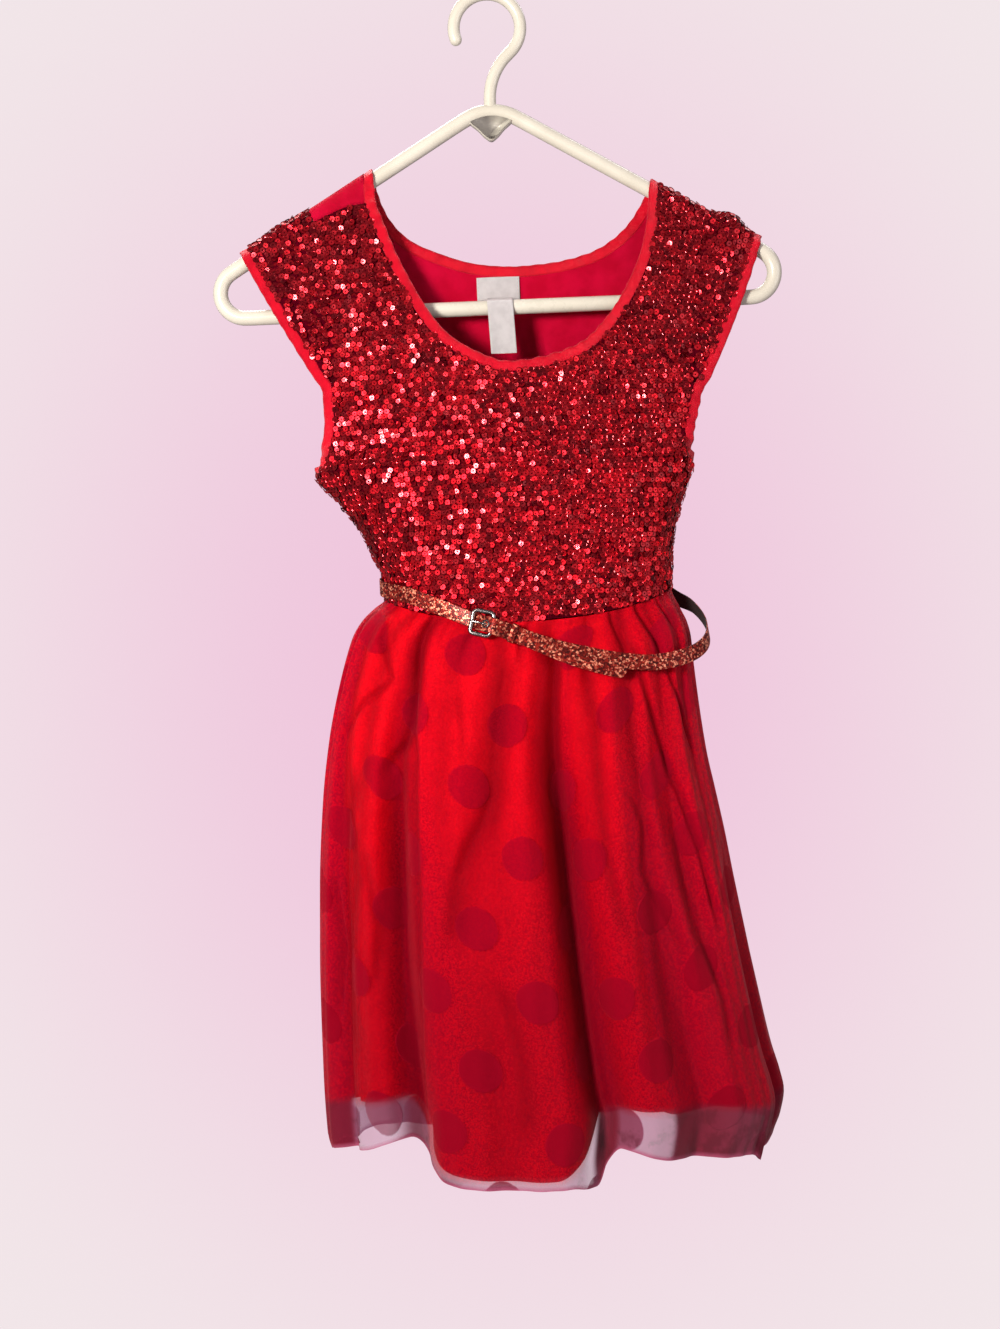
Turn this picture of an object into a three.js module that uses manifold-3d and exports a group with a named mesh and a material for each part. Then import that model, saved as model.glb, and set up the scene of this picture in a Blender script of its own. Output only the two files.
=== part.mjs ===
// Sequin party dress on a tubular hanger, with its own slack belt.
// Millimetres, +Z up, the front of the dress faces -Y, +X is the viewer's right.
// The origin is the inner top of the hanger's hook, where a rail carries it.
import * as THREE from 'three';
import { mergeVertices } from 'three/addons/utils/BufferGeometryUtils.js';
import Module from 'manifold-3d';

const wasm = await Module();
wasm.setup();

// ---------------------------------------------------------------- driving sizes
const GAP = 0.3;
const WALL = { sequin: 2.0, jersey: 1.6, lining: 1.2, organza: 1.1, label: 0.7 };
const BINDING = { width: 8.5, thick: 2.4 };
const TUBE = { radius: 5.5, apexZ: -75, slope: 0.589, loopRadius: 18, loopX: 187.5, barZ: -224.3 };
const HOOK = { radius: 4.5, inner: 20, startDeg: -50, endDeg: 198 };
const STRAP = { width: 11.5, thick: 1.4 };
const EYELET = { x: -18.6, hole: 1.9, outer: 3.1, thick: 0.5 };
const KEEPER = { x: 0.5, z: -464.9, width: 4.5, height: 13.1, depth: 6.8, wall: 0.9 };
const PRONG = { radius: 0.75 };
const BUCKLE = { length: 15, height: 17, wire: 1.65, corner: 3, tiltDeg: -15 };
const SHOULDER_R = TUBE.radius + 0.9 + WALL.sequin / 2;
const RIDGE_LIFT = Math.hypot(1, TUBE.slope);
const WAIST = { side: -437, drop: 19.5, backDrop: -6 };
const UNDERARM = { left: -346, right: -346 };
const GATHERS = 24;
const LEAST_TURN = 0.003;

// left and right outline of the dress by height; above the underarm it is the armhole seam
const LEFT = [
  { z: -880, x: -138 }, { z: -862, x: -148 }, { z: -850, x: -153 }, { z: -838, x: -156 },
  { z: -800, x: -157 }, { z: -738, x: -156.5 }, { z: -654, x: -153.5 }, { z: -586, x: -148 },
  { z: -541, x: -141.5 }, { z: -518, x: -136.7 }, { z: -496, x: -131 }, { z: -474, x: -124 },
  { z: -463, x: -119.5 }, { z: -452, x: -112 }, { z: -443, x: -102 }, { z: -437, x: -94.5 },
  { z: -419, x: -95 }, { z: -407, x: -100.5 }, { z: -396, x: -105 }, { z: -384, x: -110.5 },
  { z: -373, x: -118 }, { z: -361, x: -127 }, { z: -350, x: -137.5 }, { z: -346, x: -140.5 },
  { z: -335, x: -133 }, { z: -318, x: -127 }, { z: -305, x: -125 }, { z: -283, x: -125.3 },
  { z: -248, x: -124.2 }, { z: -216, x: -125.7 }, { z: -172, x: -131.7 }, { z: -147, x: -138.5 },
  { z: -110, x: -142 },
];
const RIGHT = [
  { z: -880, x: 172 }, { z: -866, x: 179 }, { z: -850, x: 184 }, { z: -838, x: 189 },
  { z: -820, x: 192.5 }, { z: -806, x: 190 }, { z: -784, x: 184 }, { z: -738, x: 175 },
  { z: -700, x: 168 }, { z: -654, x: 160 }, { z: -620, x: 154.5 }, { z: -586, x: 148 },
  { z: -563, x: 143.5 }, { z: -541, x: 140.5 }, { z: -518, x: 138 }, { z: -496, x: 136 },
  { z: -474, x: 134.5 }, { z: -463, x: 132 }, { z: -452, x: 127 }, { z: -437, x: 121 },
  { z: -417, x: 121.8 }, { z: -405, x: 123 }, { z: -394, x: 124.8 }, { z: -383, x: 127.5 },
  { z: -372, x: 131 }, { z: -361, x: 134.8 }, { z: -346, x: 139.5 }, { z: -336, x: 135 },
  { z: -322, x: 134 }, { z: -310, x: 136.5 }, { z: -291, x: 140.5 }, { z: -260, x: 142.5 },
  { z: -225, x: 147.5 }, { z: -190, x: 155 }, { z: -157, x: 162.5 }, { z: -120, x: 166 },
];
// how far the middle of the front and of the back stand from the hanger's plane
const FRONT = [
  { z: -880, y: 89 }, { z: -800, y: 86 }, { z: -700, y: 80 }, { z: -600, y: 72 },
  { z: -540, y: 67 }, { z: -500, y: 62 }, { z: -475, y: 57 }, { z: -456, y: 52.5 },
  { z: -437, y: 50 }, { z: -380, y: 46 }, { z: -330, y: 40 }, { z: -280, y: 31 },
  { z: -240, y: 24 }, { z: -200, y: 17.5 }, { z: -170, y: 12.5 }, { z: -140, y: 8.5 },
];
const BACK = [
  { z: -880, y: 98 }, { z: -800, y: 95 }, { z: -700, y: 88 }, { z: -600, y: 78 },
  { z: -540, y: 72 }, { z: -500, y: 67 }, { z: -475, y: 62 }, { z: -456, y: 58 },
  { z: -437, y: 55 }, { z: -380, y: 50 }, { z: -330, y: 43 }, { z: -280, y: 33 },
  { z: -224, y: 21 }, { z: -190, y: 16 }, { z: -140, y: 9 },
];
// how far the armhole edge stands off that plane, by height above the underarm
const ARM_EDGE = [
  { up: -1, y: 0 }, { up: 0, y: 0 }, { up: 5, y: 6.5 }, { up: 14, y: 11.5 }, { up: 32, y: 15 },
  { up: 62, y: 15.5 }, { up: 120, y: 12 }, { up: 190, y: 9 },
];
// finished edge of the neckline, front and back, and the shoulder seams
const NECK_FRONT = [
  { x: -86, z: -143 }, { x: -79, z: -163 }, { x: -69.2, z: -188.6 }, { x: -50, z: -226 },
  { x: -31.8, z: -247.4 }, { x: -5, z: -262.5 }, { x: 9.5, z: -265 }, { x: 30, z: -262.8 },
  { x: 52, z: -256.5 }, { x: 67, z: -247 }, { x: 87, z: -223 }, { x: 103.7, z: -190.5 },
  { x: 109.5, z: -165 }, { x: 112.8, z: -139 },
];
const NECK_BACK = [
  { x: -88, z: -92.5 }, { x: -87, z: -118 }, { x: -83.7, z: -138 }, { x: -75.3, z: -156 },
  { x: -60.7, z: -170.2 }, { x: -38.3, z: -180.2 }, { x: -15.7, z: -187.2 }, { x: 7, z: -190 },
  { x: 28, z: -189.5 }, { x: 48.7, z: -187.8 }, { x: 71.9, z: -181.8 }, { x: 87.6, z: -173.3 },
  { x: 98.7, z: -163.2 }, { x: 107, z: -151.5 }, { x: 112, z: -142 },
  { x: 114.4, z: -130.5 },
];
// shoulder seams: how far below the tube's axis each seam lies on the front of the dress
const SEAM_LEFT = [{ x: -142, below: 3 }, { x: -111, below: 8 }, { x: -94, below: 15 }];
const SEAM_RIGHT = [{ x: 123, below: -8 }, { x: 168, below: -8 }];

// large folds of the skirt: angle round the skirt at waist and hem, from the left side
const FOLDS = [
  { top: 49, hem: 52.5, depth: 27, wide: 5.5, from: 0.03, to: 2 },
  { top: 103, hem: 103, depth: 31, wide: 6, from: 0.02, to: 2 },
  { top: 87, hem: 62, depth: 9, wide: 5, from: 0.04, to: 0.62 },
  { top: 26, hem: 24, depth: 15, wide: 6, from: 0.12, to: 2 },
  { top: 131, hem: 152, depth: 13, wide: 6, from: 0.06, to: 0.75 },
  { top: 124, hem: 130, depth: 16, wide: 7, from: 0.25, to: 2 },
  { top: 75, hem: 78, depth: 8, wide: 6, from: 0.4, to: 2 },
  { top: 166, hem: 168, depth: 12, wide: 5, from: 0.3, to: 2 },
  { top: 201, hem: 199, depth: 18, wide: 6, from: 0.1, to: 2 },
  { top: 226, hem: 230, depth: 26, wide: 7, from: 0.05, to: 2 },
  { top: 263, hem: 258, depth: 24, wide: 6, from: 0.04, to: 2 },
  { top: 290, hem: 293, depth: 28, wide: 7, from: 0.08, to: 2 },
  { top: 318, hem: 321, depth: 20, wide: 6, from: 0.05, to: 2 },
  { top: 343, hem: 345, depth: 14, wide: 5, from: 0.2, to: 2 },
];
const HEM_ORGANZA = [
  { deg: 0, z: -851 }, { deg: 15, z: -845 }, { deg: 35, z: -839 }, { deg: 49, z: -830 },
  { deg: 56, z: -853 }, { deg: 65, z: -860 }, { deg: 78, z: -863 }, { deg: 93, z: -862 },
  { deg: 101, z: -868 }, { deg: 107, z: -840 }, { deg: 118, z: -847 }, { deg: 135, z: -853 },
  { deg: 150, z: -856 }, { deg: 163, z: -866 }, { deg: 172, z: -861 }, { deg: 180, z: -851 },
  { deg: 200, z: -845 }, { deg: 228, z: -853 }, { deg: 250, z: -859 }, { deg: 268, z: -848 },
  { deg: 285, z: -857 }, { deg: 305, z: -861 }, { deg: 322, z: -849 }, { deg: 340, z: -856 },
  { deg: 360, z: -851 },
];
const HEM_LINING = [
  { deg: 0, z: -812 }, { deg: 20, z: -808 }, { deg: 40, z: -803 }, { deg: 49, z: -801 },
  { deg: 57, z: -845 }, { deg: 66, z: -854 }, { deg: 78, z: -858 }, { deg: 90, z: -857 },
  { deg: 97, z: -846 }, { deg: 104, z: -812 }, { deg: 120, z: -813 }, { deg: 140, z: -818 },
  { deg: 160, z: -823 }, { deg: 180, z: -815 }, { deg: 215, z: -812 }, { deg: 250, z: -820 },
  { deg: 285, z: -814 }, { deg: 320, z: -820 }, { deg: 345, z: -815 }, { deg: 360, z: -812 },
];
// the belt's centreline over the dress: x or angle, height, distance out from the cloth
const BELT_FRONT = [
  { x: 80, z: -496, out: 3.4 }, { x: 62, z: -491, out: 3.4 }, { x: 44, z: -485, out: 3.5 },
  { x: 27, z: -477.5, out: 3.8 }, { x: 12, z: -470, out: 4.5 }, { x: 1, z: -465, out: 5.1 },
  { x: -3, z: -463.4, out: 5.9 }, { x: -7, z: -462, out: 7.6 }, { x: -10.5, z: -460.6, out: 9.7 },
  { x: -13.5, z: -459.5, out: 10 },
  { x: -17, z: -458.2, out: 8.4 }, { x: -21, z: -456.8, out: 5.9 }, { x: -25, z: -455.2, out: 3.2 },
  { x: -28.5, z: -453.8, out: 2.2 }, { x: -36, z: -450.5, out: 1.8 }, { x: -48, z: -445, out: 1.6 },
  { x: -60, z: -440, out: 1.6 }, { x: -73, z: -434.5, out: 1.6 },
];
const BELT_ROUND = [
  { deg: 372, z: -429.5, out: 1.6 }, { deg: 360, z: -427, out: 1.6 }, { deg: 348, z: -426, out: 1.6 },
  { deg: 330, z: -425.5, out: 1.6 }, { deg: 308, z: -426, out: 1.6 }, { deg: 284, z: -427, out: 1.6 },
  { deg: 260, z: -427.5, out: 1.7 }, { deg: 238, z: -428.5, out: 2.2 }, { deg: 220, z: -431.5, out: 4 },
  { deg: 208, z: -437, out: 7.5 }, { deg: 199, z: -446, out: 9.5 }, { deg: 190, z: -456, out: 11 },
  { deg: 181, z: -467, out: 12 }, { deg: 171, z: -477, out: 11.8 }, { deg: 160, z: -484.5, out: 9.8 },
  { deg: 148, z: -489, out: 6.6 }, { deg: 136, z: -490.5, out: 3.4 }, { deg: 126, z: -488.5, out: 1.9 },
  { deg: 118, z: -485.5, out: 1.5 }, { deg: 110, z: -481.5, out: 1.6 }, { deg: 103, z: -477.5, out: 1.8 },
  { deg: 96.5, z: -473, out: 2.2 }, { deg: 91, z: -469, out: 2.7 }, { deg: 86.5, z: -465.8, out: 3 },
  { deg: 83, z: -463.2, out: 3 },
];

// ---------------------------------------------------------------- small helpers
const rad = (deg) => (deg * Math.PI) / 180;
const clamp01 = (v) => Math.min(1, Math.max(0, v));
const smooth = (v) => clamp01(v) * clamp01(v) * (3 - 2 * clamp01(v));
const mix = (a, b, t) => a + (b - a) * t;

// value of a table at a place: slopes from the neighbours, flattened where the rows turn
function tableAt(rows, key, value, at) {
  const n = rows.length;
  if (at <= rows[0][key]) {
    return rows[0][value];
  }
  if (at >= rows[n - 1][key]) {
    return rows[n - 1][value];
  }
  let i = 0;
  while (rows[i + 1][key] < at) {
    i += 1;
  }
  const run = (j) => (rows[j + 1][value] - rows[j][value]) / (rows[j + 1][key] - rows[j][key]);
  const slope = (j) => {
    if (j === 0) {
      return run(0);
    }
    if (j === n - 1) {
      return run(n - 2);
    }
    const [a, b] = [run(j - 1), run(j)];
    return a * b <= 0 ? 0 : (2 * a * b) / (a + b);
  };
  const h = rows[i + 1][key] - rows[i][key];
  const t = (at - rows[i][key]) / h;
  const a = (1 + 2 * t) * (1 - t) * (1 - t) * rows[i][value] + t * (1 - t) * (1 - t) * h * slope(i);
  const b = t * t * (3 - 2 * t) * rows[i + 1][value] + t * t * (t - 1) * h * slope(i + 1);
  return a + b;
}

function geometryOf(points, faces) {
  const position = new Float32Array(points.length * 3);
  points.forEach((p, i) => position.set([p.x, p.y, p.z], i * 3));
  const geometry = new THREE.BufferGeometry();
  geometry.setAttribute('position', new THREE.BufferAttribute(position, 3));
  let volume = 0;
  for (const [a, b, c] of faces) {
    volume += points[a].dot(new THREE.Vector3().crossVectors(points[b], points[c]));
  }
  geometry.setIndex(faces.flatMap(([a, b, c]) => (volume > 0 ? [a, b, c] : [a, c, b])));
  geometry.computeVertexNormals();
  return geometry;
}

function quad(faces, a, b, c, d) {
  faces.push([a, b, c], [a, c, d]);
}

// unit normal of a surface given as a function of two parameters
function normalAt(surface, u, v, du, dv) {
  const along = surface(u + du, v).sub(surface(u - du, v));
  const up = surface(u, v + dv).sub(surface(u, v - dv));
  return along.cross(up).normalize();
}

// closed cloth wall: the surface moved half a wall out and half a wall in, with rims
function clothWall(surface, us, vsOf, wall, normal = null) {
  const normalOf = normal ?? ((u, v) => normalAt(surface, u, v, 0.004, 0.004));
  const rows = vsOf(us[0]).length;
  const points = [];
  for (const side of [0.5, -0.5]) {
    for (const u of us) {
      for (const v of vsOf(u)) {
        const out = normalOf(u, v);
        points.push(surface(u, v).addScaledVector(out, side * wall));
      }
    }
  }
  const half = us.length * rows;
  const faces = [];
  const id = (side, i, j) => side * half + i * rows + j;
  for (let i = 0; i < us.length - 1; i += 1) {
    for (let j = 0; j < rows - 1; j += 1) {
      quad(faces, id(0, i, j), id(0, i + 1, j), id(0, i + 1, j + 1), id(0, i, j + 1));
      quad(faces, id(1, i, j), id(1, i, j + 1), id(1, i + 1, j + 1), id(1, i + 1, j));
    }
    quad(faces, id(0, i, 0), id(1, i, 0), id(1, i + 1, 0), id(0, i + 1, 0));
    quad(faces, id(0, i, rows - 1), id(0, i + 1, rows - 1), id(1, i + 1, rows - 1), id(1, i, rows - 1));
  }
  for (let j = 0; j < rows - 1; j += 1) {
    const e = us.length - 1;
    quad(faces, id(0, 0, j), id(0, 0, j + 1), id(1, 0, j + 1), id(1, 0, j));
    quad(faces, id(0, e, j), id(1, e, j), id(1, e, j + 1), id(0, e, j + 1));
  }
  return geometryOf(points, faces);
}

// a section of (across, through) pairs carried along stations {at, across, through}
function sweep(stations, section, closed) {
  const points = [];
  for (const s of stations) {
    for (const [a, t] of section) {
      const wide = a * (s.scale ?? 1);
      points.push(s.at.clone().addScaledVector(s.across, wide).addScaledVector(s.through, t));
    }
  }
  const faces = [];
  const k = section.length;
  const n = stations.length;
  for (let i = 0; i < (closed ? n : n - 1); i += 1) {
    for (let j = 0; j < k; j += 1) {
      const [a, b] = [i * k + j, i * k + ((j + 1) % k)];
      const [c, d] = [((i + 1) % n) * k + ((j + 1) % k), ((i + 1) % n) * k + j];
      quad(faces, a, b, c, d);
    }
  }
  if (!closed) {
    for (let j = 1; j < k - 1; j += 1) {
      faces.push([0, j + 1, j], [(n - 1) * k, (n - 1) * k + j, (n - 1) * k + j + 1]);
    }
  }
  return geometryOf(points, faces);
}

function flatSection(width, thick, chamfer) {
  const [w, t] = [width / 2, thick / 2];
  return [[w, 0], [w - chamfer, t], [chamfer - w, t], [-w, 0], [chamfer - w, -t], [w - chamfer, -t]];
}

function boxSection(width, thick) {
  const [w, t] = [width / 2, thick / 2];
  return [[w, t], [-w, t], [-w, -t], [w, -t]];
}

function roundSection(radius, sides) {
  const steps = Array.from({ length: sides }, (_, i) => rad((360 * (i + 0.5)) / sides));
  return steps.map((a) => [radius * Math.cos(a), radius * Math.sin(a)]);
}

// stations of a path that lies in the hanger's plane
function planarStations(path, closed) {
  const n = path.length;
  return path.map((p, i) => {
    const before = path[closed ? (i + n - 1) % n : Math.max(0, i - 1)];
    const after = path[closed ? (i + 1) % n : Math.min(n - 1, i + 1)];
    const along = after.clone().sub(before).normalize();
    const through = new THREE.Vector3(0, 1, 0);
    return { at: p, across: along.clone().cross(through).normalize(), through };
  });
}

function toManifold(geometry) {
  let g = geometry.clone();
  g.deleteAttribute('normal');
  g.deleteAttribute('uv');
  g = mergeVertices(g, 1e-4);
  const mesh = new wasm.Mesh({
    numProp: 3,
    vertProperties: new Float32Array(g.attributes.position.array),
    triVerts: new Uint32Array(g.index.array),
  });
  return new wasm.Manifold(mesh);
}

function fromManifold(solid) {
  const mesh = solid.getMesh();
  const g = new THREE.BufferGeometry();
  g.setAttribute('position', new THREE.BufferAttribute(new Float32Array(mesh.vertProperties), 3));
  g.setIndex(Array.from(mesh.triVerts));
  g.computeVertexNormals();
  return g;
}

const group = new THREE.Group();
group.name = 'sequin_dress_on_hanger';

function add(name, geometry, color, roughness, metalness = 0) {
  const material = new THREE.MeshStandardMaterial({ color, roughness, metalness });
  material.name = `${name}_surface`;
  const mesh = new THREE.Mesh(geometry, material);
  mesh.name = name;
  group.add(mesh);
}

const COLOR = {
  sequin: 0x8f0a1c, jersey: 0xc4002a, satin: 0xc8061a, lining: 0xd00014, organza: 0xa8081c,
  belt: 0x8a2a1c, steel: 0xb8b8bc, ivory: 0xf0ead8, label: 0xe6e4e0,
};

// ---------------------------------------------------------------- hanger
// tubular frame with an eye at each end, a web under the apex and a plain hook
const armZ = (x) => TUBE.apexZ - TUBE.slope * Math.abs(x);

function hangerPath() {
  const slope = Math.atan(TUBE.slope);
  const right = [];
  const apexRun = 20;
  for (let i = 0; i <= 4; i += 1) {
    const x = (apexRun * i) / 4;
    const bend = (TUBE.slope * apexRun * (1 - x / apexRun) ** 2) / 2;
    right.push(new THREE.Vector3(x, 0, armZ(x) - bend));
  }
  const centre = new THREE.Vector3(TUBE.loopX, 0, TUBE.barZ + TUBE.loopRadius);
  for (const x of [60, 110, 160]) {
    right.push(new THREE.Vector3(x, 0, armZ(x)));
  }
  const turns = 10;
  for (let i = 0; i <= turns; i += 1) {
    const a = mix(Math.PI / 2 - slope, -Math.PI / 2, i / turns);
    const eye = new THREE.Vector3(Math.cos(a), 0, Math.sin(a)).multiplyScalar(TUBE.loopRadius);
    right.push(centre.clone().add(eye));
  }
  for (const x of [150, 100, 50]) {
    right.push(new THREE.Vector3(x, 0, TUBE.barZ));
  }
  const middle = new THREE.Vector3(0, 0, TUBE.barZ);
  const left = right.slice(1).reverse().map((p) => new THREE.Vector3(-p.x, 0, p.z));
  return [...right, middle, ...left];
}

function hookPath() {
  const r = HOOK.inner + HOOK.radius;
  const centreZ = -HOOK.inner;
  const start = rad(HOOK.startDeg);
  const blend = (r * Math.cos(start)) / (1 - Math.cos(-start));
  const blendZ = centreZ + r * Math.sin(start) - blend * Math.sin(-start);
  const path = [new THREE.Vector3(0, 0, TUBE.apexZ - 6)];
  for (let i = 0; i <= 4; i += 1) {
    const a = (-start * i) / 4;
    path.push(new THREE.Vector3(blend * (1 - Math.cos(a)), 0, blendZ + blend * Math.sin(a)));
  }
  const turns = 18;
  for (let i = 1; i <= turns; i += 1) {
    const a = mix(start, rad(HOOK.endDeg), i / turns);
    path.push(new THREE.Vector3(r * Math.cos(a), 0, centreZ + r * Math.sin(a)));
  }
  return path;
}

function hanger() {
  const loop = sweep(planarStations(hangerPath(), true), roundSection(TUBE.radius, 8), true);
  const path = hookPath();
  const hook = sweep(planarStations(path, false), roundSection(HOOK.radius, 8), false);
  const end = new THREE.SphereGeometry(HOOK.radius, 8, 6);
  end.translate(path.at(-1).x, path.at(-1).y, path.at(-1).z);
  const web = new THREE.Shape();
  web.moveTo(-17, -87);
  web.lineTo(0, -80);
  web.lineTo(17, -87);
  web.quadraticCurveTo(8, -97, 4, -101);
  web.quadraticCurveTo(0, -104, -4, -101);
  web.quadraticCurveTo(-8, -97, -17, -87);
  const plate = new THREE.ExtrudeGeometry(web, { depth: 8, bevelEnabled: false, curveSegments: 4 });
  plate.rotateX(Math.PI / 2);
  plate.translate(0, 4, 0);
  const parts = [loop, hook, end, plate].map(toManifold);
  return fromManifold(parts.reduce((a, b) => a.add(b)));
}

add('hanger', hanger(), COLOR.ivory, 0.35);

// ---------------------------------------------------------------- shape of the body
// height of the waist seam: it dips at the front and rises a little at the back
function waistZ(phi) {
  const s = Math.sin(phi);
  return WAIST.side - (s > 0 ? WAIST.drop : WAIST.backDrop) * Math.abs(s) ** 1.5;
}

// height to read the tables at, so that the waist of the tables follows the dipping seam
function tableZ(phi, z) {
  const near = smooth((-385 - z) / 45) * (1 - smooth((-472 - z) / 120));
  return z - (waistZ(phi) - WAIST.side) * near;
}

// outline at an angle round the dress, 0 at the left side seam and 180 at the right one
function outlineAt(phi, z) {
  const at = tableZ(phi, z);
  return mix(tableAt(LEFT, 'z', 'x', at), tableAt(RIGHT, 'z', 'x', at), (1 - Math.cos(phi)) / 2);
}

function phiAt(x, z) {
  let [low, high] = [0, Math.PI];
  for (let i = 0; i < 30; i += 1) {
    const phi = (low + high) / 2;
    [low, high] = outlineAt(phi, z) < x ? [phi, high] : [low, phi];
  }
  return (low + high) / 2;
}

// outside of the bodice below the armholes and of the skirt, before gathers and folds
function bodyAt(phi, z) {
  const depth = tableAt(Math.sin(phi) > 0 ? FRONT : BACK, 'z', 'y', tableZ(phi, z));
  return new THREE.Vector3(outlineAt(phi, z), -depth * Math.sin(phi), z);
}

// level outward direction of the outline's ellipse
function outwardAt(phi, z) {
  const at = tableZ(phi, z);
  const half = (tableAt(RIGHT, 'z', 'x', at) - tableAt(LEFT, 'z', 'x', at)) / 2;
  const depth = tableAt(Math.sin(phi) > 0 ? FRONT : BACK, 'z', 'y', at);
  return new THREE.Vector3(-depth * Math.cos(phi), -half * Math.sin(phi), 0).normalize();
}

// ---------------------------------------------------------------- bodice
// a panel hangs from the tube: above the tube's axis its height turns into an arc over it
function bodiceAt(side, phi, rise) {
  const r = SHOULDER_R;
  const quarter = (Math.PI * r) / 2;
  const turn = side < 0 ? phi : -phi;
  const ridge = armZ(outlineAt(turn, rise)) + quarter;
  const x = outlineAt(turn, Math.min(rise, 2 * ridge - rise));
  const axis = armZ(x);
  const below = axis - rise;
  if (below < 0) {
    const k = quarter + below;
    if (k < -quarter) {
      return new THREE.Vector3(x, -side * r, axis + k + quarter);
    }
    return new THREE.Vector3(x, side * r * Math.sin(k / r), axis + r * RIDGE_LIFT * Math.cos(k / r));
  }
  const arm = Math.cos(phi) > 0 ? UNDERARM.left : UNDERARM.right;
  const edge = tableAt(ARM_EDGE, 'up', 'y', rise - arm);
  const middle = tableAt(side < 0 ? FRONT : BACK, 'z', 'y', tableZ(turn, rise));
  // a closed oval below the underarm, a flatter bow between the armholes above it
  const s = Math.sin(phi);
  const open = smooth((rise - arm) / 24);
  const bow = mix(s, s * s, open);
  let depth = edge + (Math.max(middle, edge) - edge) * bow;
  depth -= 0.8 * smooth((-395 - rise) / 50) * (1 + Math.cos(phi * GATHERS)) * s;
  const wave = side > 0 ? Math.sin(x / 8.2 + rise / 160) : Math.sin(x / 19 - rise / 45);
  depth += 0.8 * (wave - 1) * s * s * smooth((below - 20) / 60);
  depth = r + (depth - r) * smooth(below / 30);
  const wall = side < 0 ? WALL.sequin : WALL.jersey;
  const within = (wall / 2) * (1 - smooth((rise - arm + 60) / 60));
  return new THREE.Vector3(x, side * depth, rise).addScaledVector(outwardAt(turn, rise), -within);
}

const SHOULDER_STEPS = [0, 0.04, 0.14, 0.32, 0.55, 0.78];

// stations along a neckline, close together where it crosses the tube
const NECK_STEPS = [
  0, 0.012, 0.024, 0.037, 0.05, 0.063, 0.076, 0.09, 0.105, 0.125, 0.16, 0.21, 0.28, 0.36, 0.44,
  0.52, 0.6, 0.68, 0.75, 0.81, 0.87, 0.92, 0.942, 0.957, 0.969, 0.98, 0.99, 1,
];

// move a neckline outward by the width of its binding
function inset(rows, distance) {
  const curve = new THREE.SplineCurve(rows.map((p) => new THREE.Vector2(p.x, p.z)));
  return NECK_STEPS.map((f) => {
    const along = curve.getTangentAt(f);
    const p = curve.getPointAt(f);
    return new THREE.Vector2(p.x + along.y * distance, p.y - along.x * distance);
  });
}

// where a shoulder seam meets the outline of the armhole
function seamEnd(outline, seam, x) {
  let end = x;
  for (let i = 0; i < 12; i += 1) {
    end = tableAt(outline, 'z', 'x', seam(end));
  }
  return end;
}

function panelTop(side, rows, seamLeft, seamRight) {
  const neck = inset(rows, BINDING.width + GAP);
  const first = neck[0];
  const last = neck.at(-1);
  const top = [];
  const startX = seamEnd(LEFT, seamLeft, -138);
  const endX = seamEnd(RIGHT, seamRight, 162);
  for (const f of SHOULDER_STEPS) {
    const x = mix(startX, first.x, f);
    top.push({ x, rise: seamLeft(x), neck: false });
  }
  neck.forEach((p, i) => {
    const edge = i === 0 ? seamLeft(p.x) : i === neck.length - 1 ? seamRight(p.x) : p.y;
    top.push({ x: p.x, rise: edge, neck: true });
  });
  for (const f of SHOULDER_STEPS.toReversed()) {
    const x = mix(endX, last.x, f);
    top.push({ x, rise: seamRight(x), neck: false });
  }
  // columns keep a least angle between them where the neck edge runs straight up
  let reached = -1;
  return top.map((p, i) => {
    const phi = i === 0 ? 0 : i === top.length - 1 ? Math.PI : phiAt(p.x, p.rise);
    reached = Math.max(phi, reached + LEAST_TURN);
    const fromEnd = Math.min(i, top.length - 1 - i);
    const seam = i < top.length / 2 ? seamLeft : seamRight;
    let rise = p.rise;
    for (let j = 0; j < 8 && fromEnd <= SHOULDER_STEPS.length; j += 1) {
      rise = seam(bodiceAt(side, reached, rise).x);
    }
    return { ...p, rise, phi: reached };
  });
}

const seamL = (x) => armZ(x) - tableAt(SEAM_LEFT, 'x', 'below', x);
const seamR = (x) => armZ(x) - tableAt(SEAM_RIGHT, 'x', 'below', x);
const overL = (x) => armZ(x) + tableAt(SEAM_LEFT, 'x', 'below', x) + Math.PI * SHOULDER_R - GAP;
const overR = (x) => armZ(x) + tableAt(SEAM_RIGHT, 'x', 'below', x) + Math.PI * SHOULDER_R - GAP;
const frontTop = panelTop(-1, NECK_FRONT, seamL, seamR);
const backTop = panelTop(1, NECK_BACK, overL, overR);

// rows up a panel in three stretches: to the underarm, to the tube's axis, and over the tube
const ROWS_LOW = [0, 0.2, 0.45, 0.7, 0.9];
const ROWS_MIDDLE = [0.006, 0.04, 0.1, 0.19, 0.32, 0.5, 0.7, 0.88];
const ROWS_OVER = { front: [0, 0.5, 1], back: [0, 0.2, 0.4, 0.6, 0.8, 1] };

function rowsFor(surface, phi, over) {
  const low = surface(phi, 0).z;
  const high = low + 2 * (surface(phi, 0.5).z - low);
  const arm = Math.cos(phi) > 0 ? UNDERARM.left : UNDERARM.right;
  const tube = armZ(surface(phi, 0.97).x);
  const axis = high - tube > 2 ? tube : high - 0.12 * (high - arm);
  const heights = [
    ...ROWS_LOW.map((f) => mix(low, arm, f)),
    ...ROWS_MIDDLE.map((f) => mix(arm, axis, f)),
    ...over.map((f) => mix(axis, high, f)),
  ];
  return heights.map((z) => (z - low) / (high - low));
}

function panelTopRise(side, phi) {
  return tableAt(side < 0 ? frontTop : backTop, 'phi', 'rise', Math.min(Math.PI, Math.max(0, phi)));
}

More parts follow.
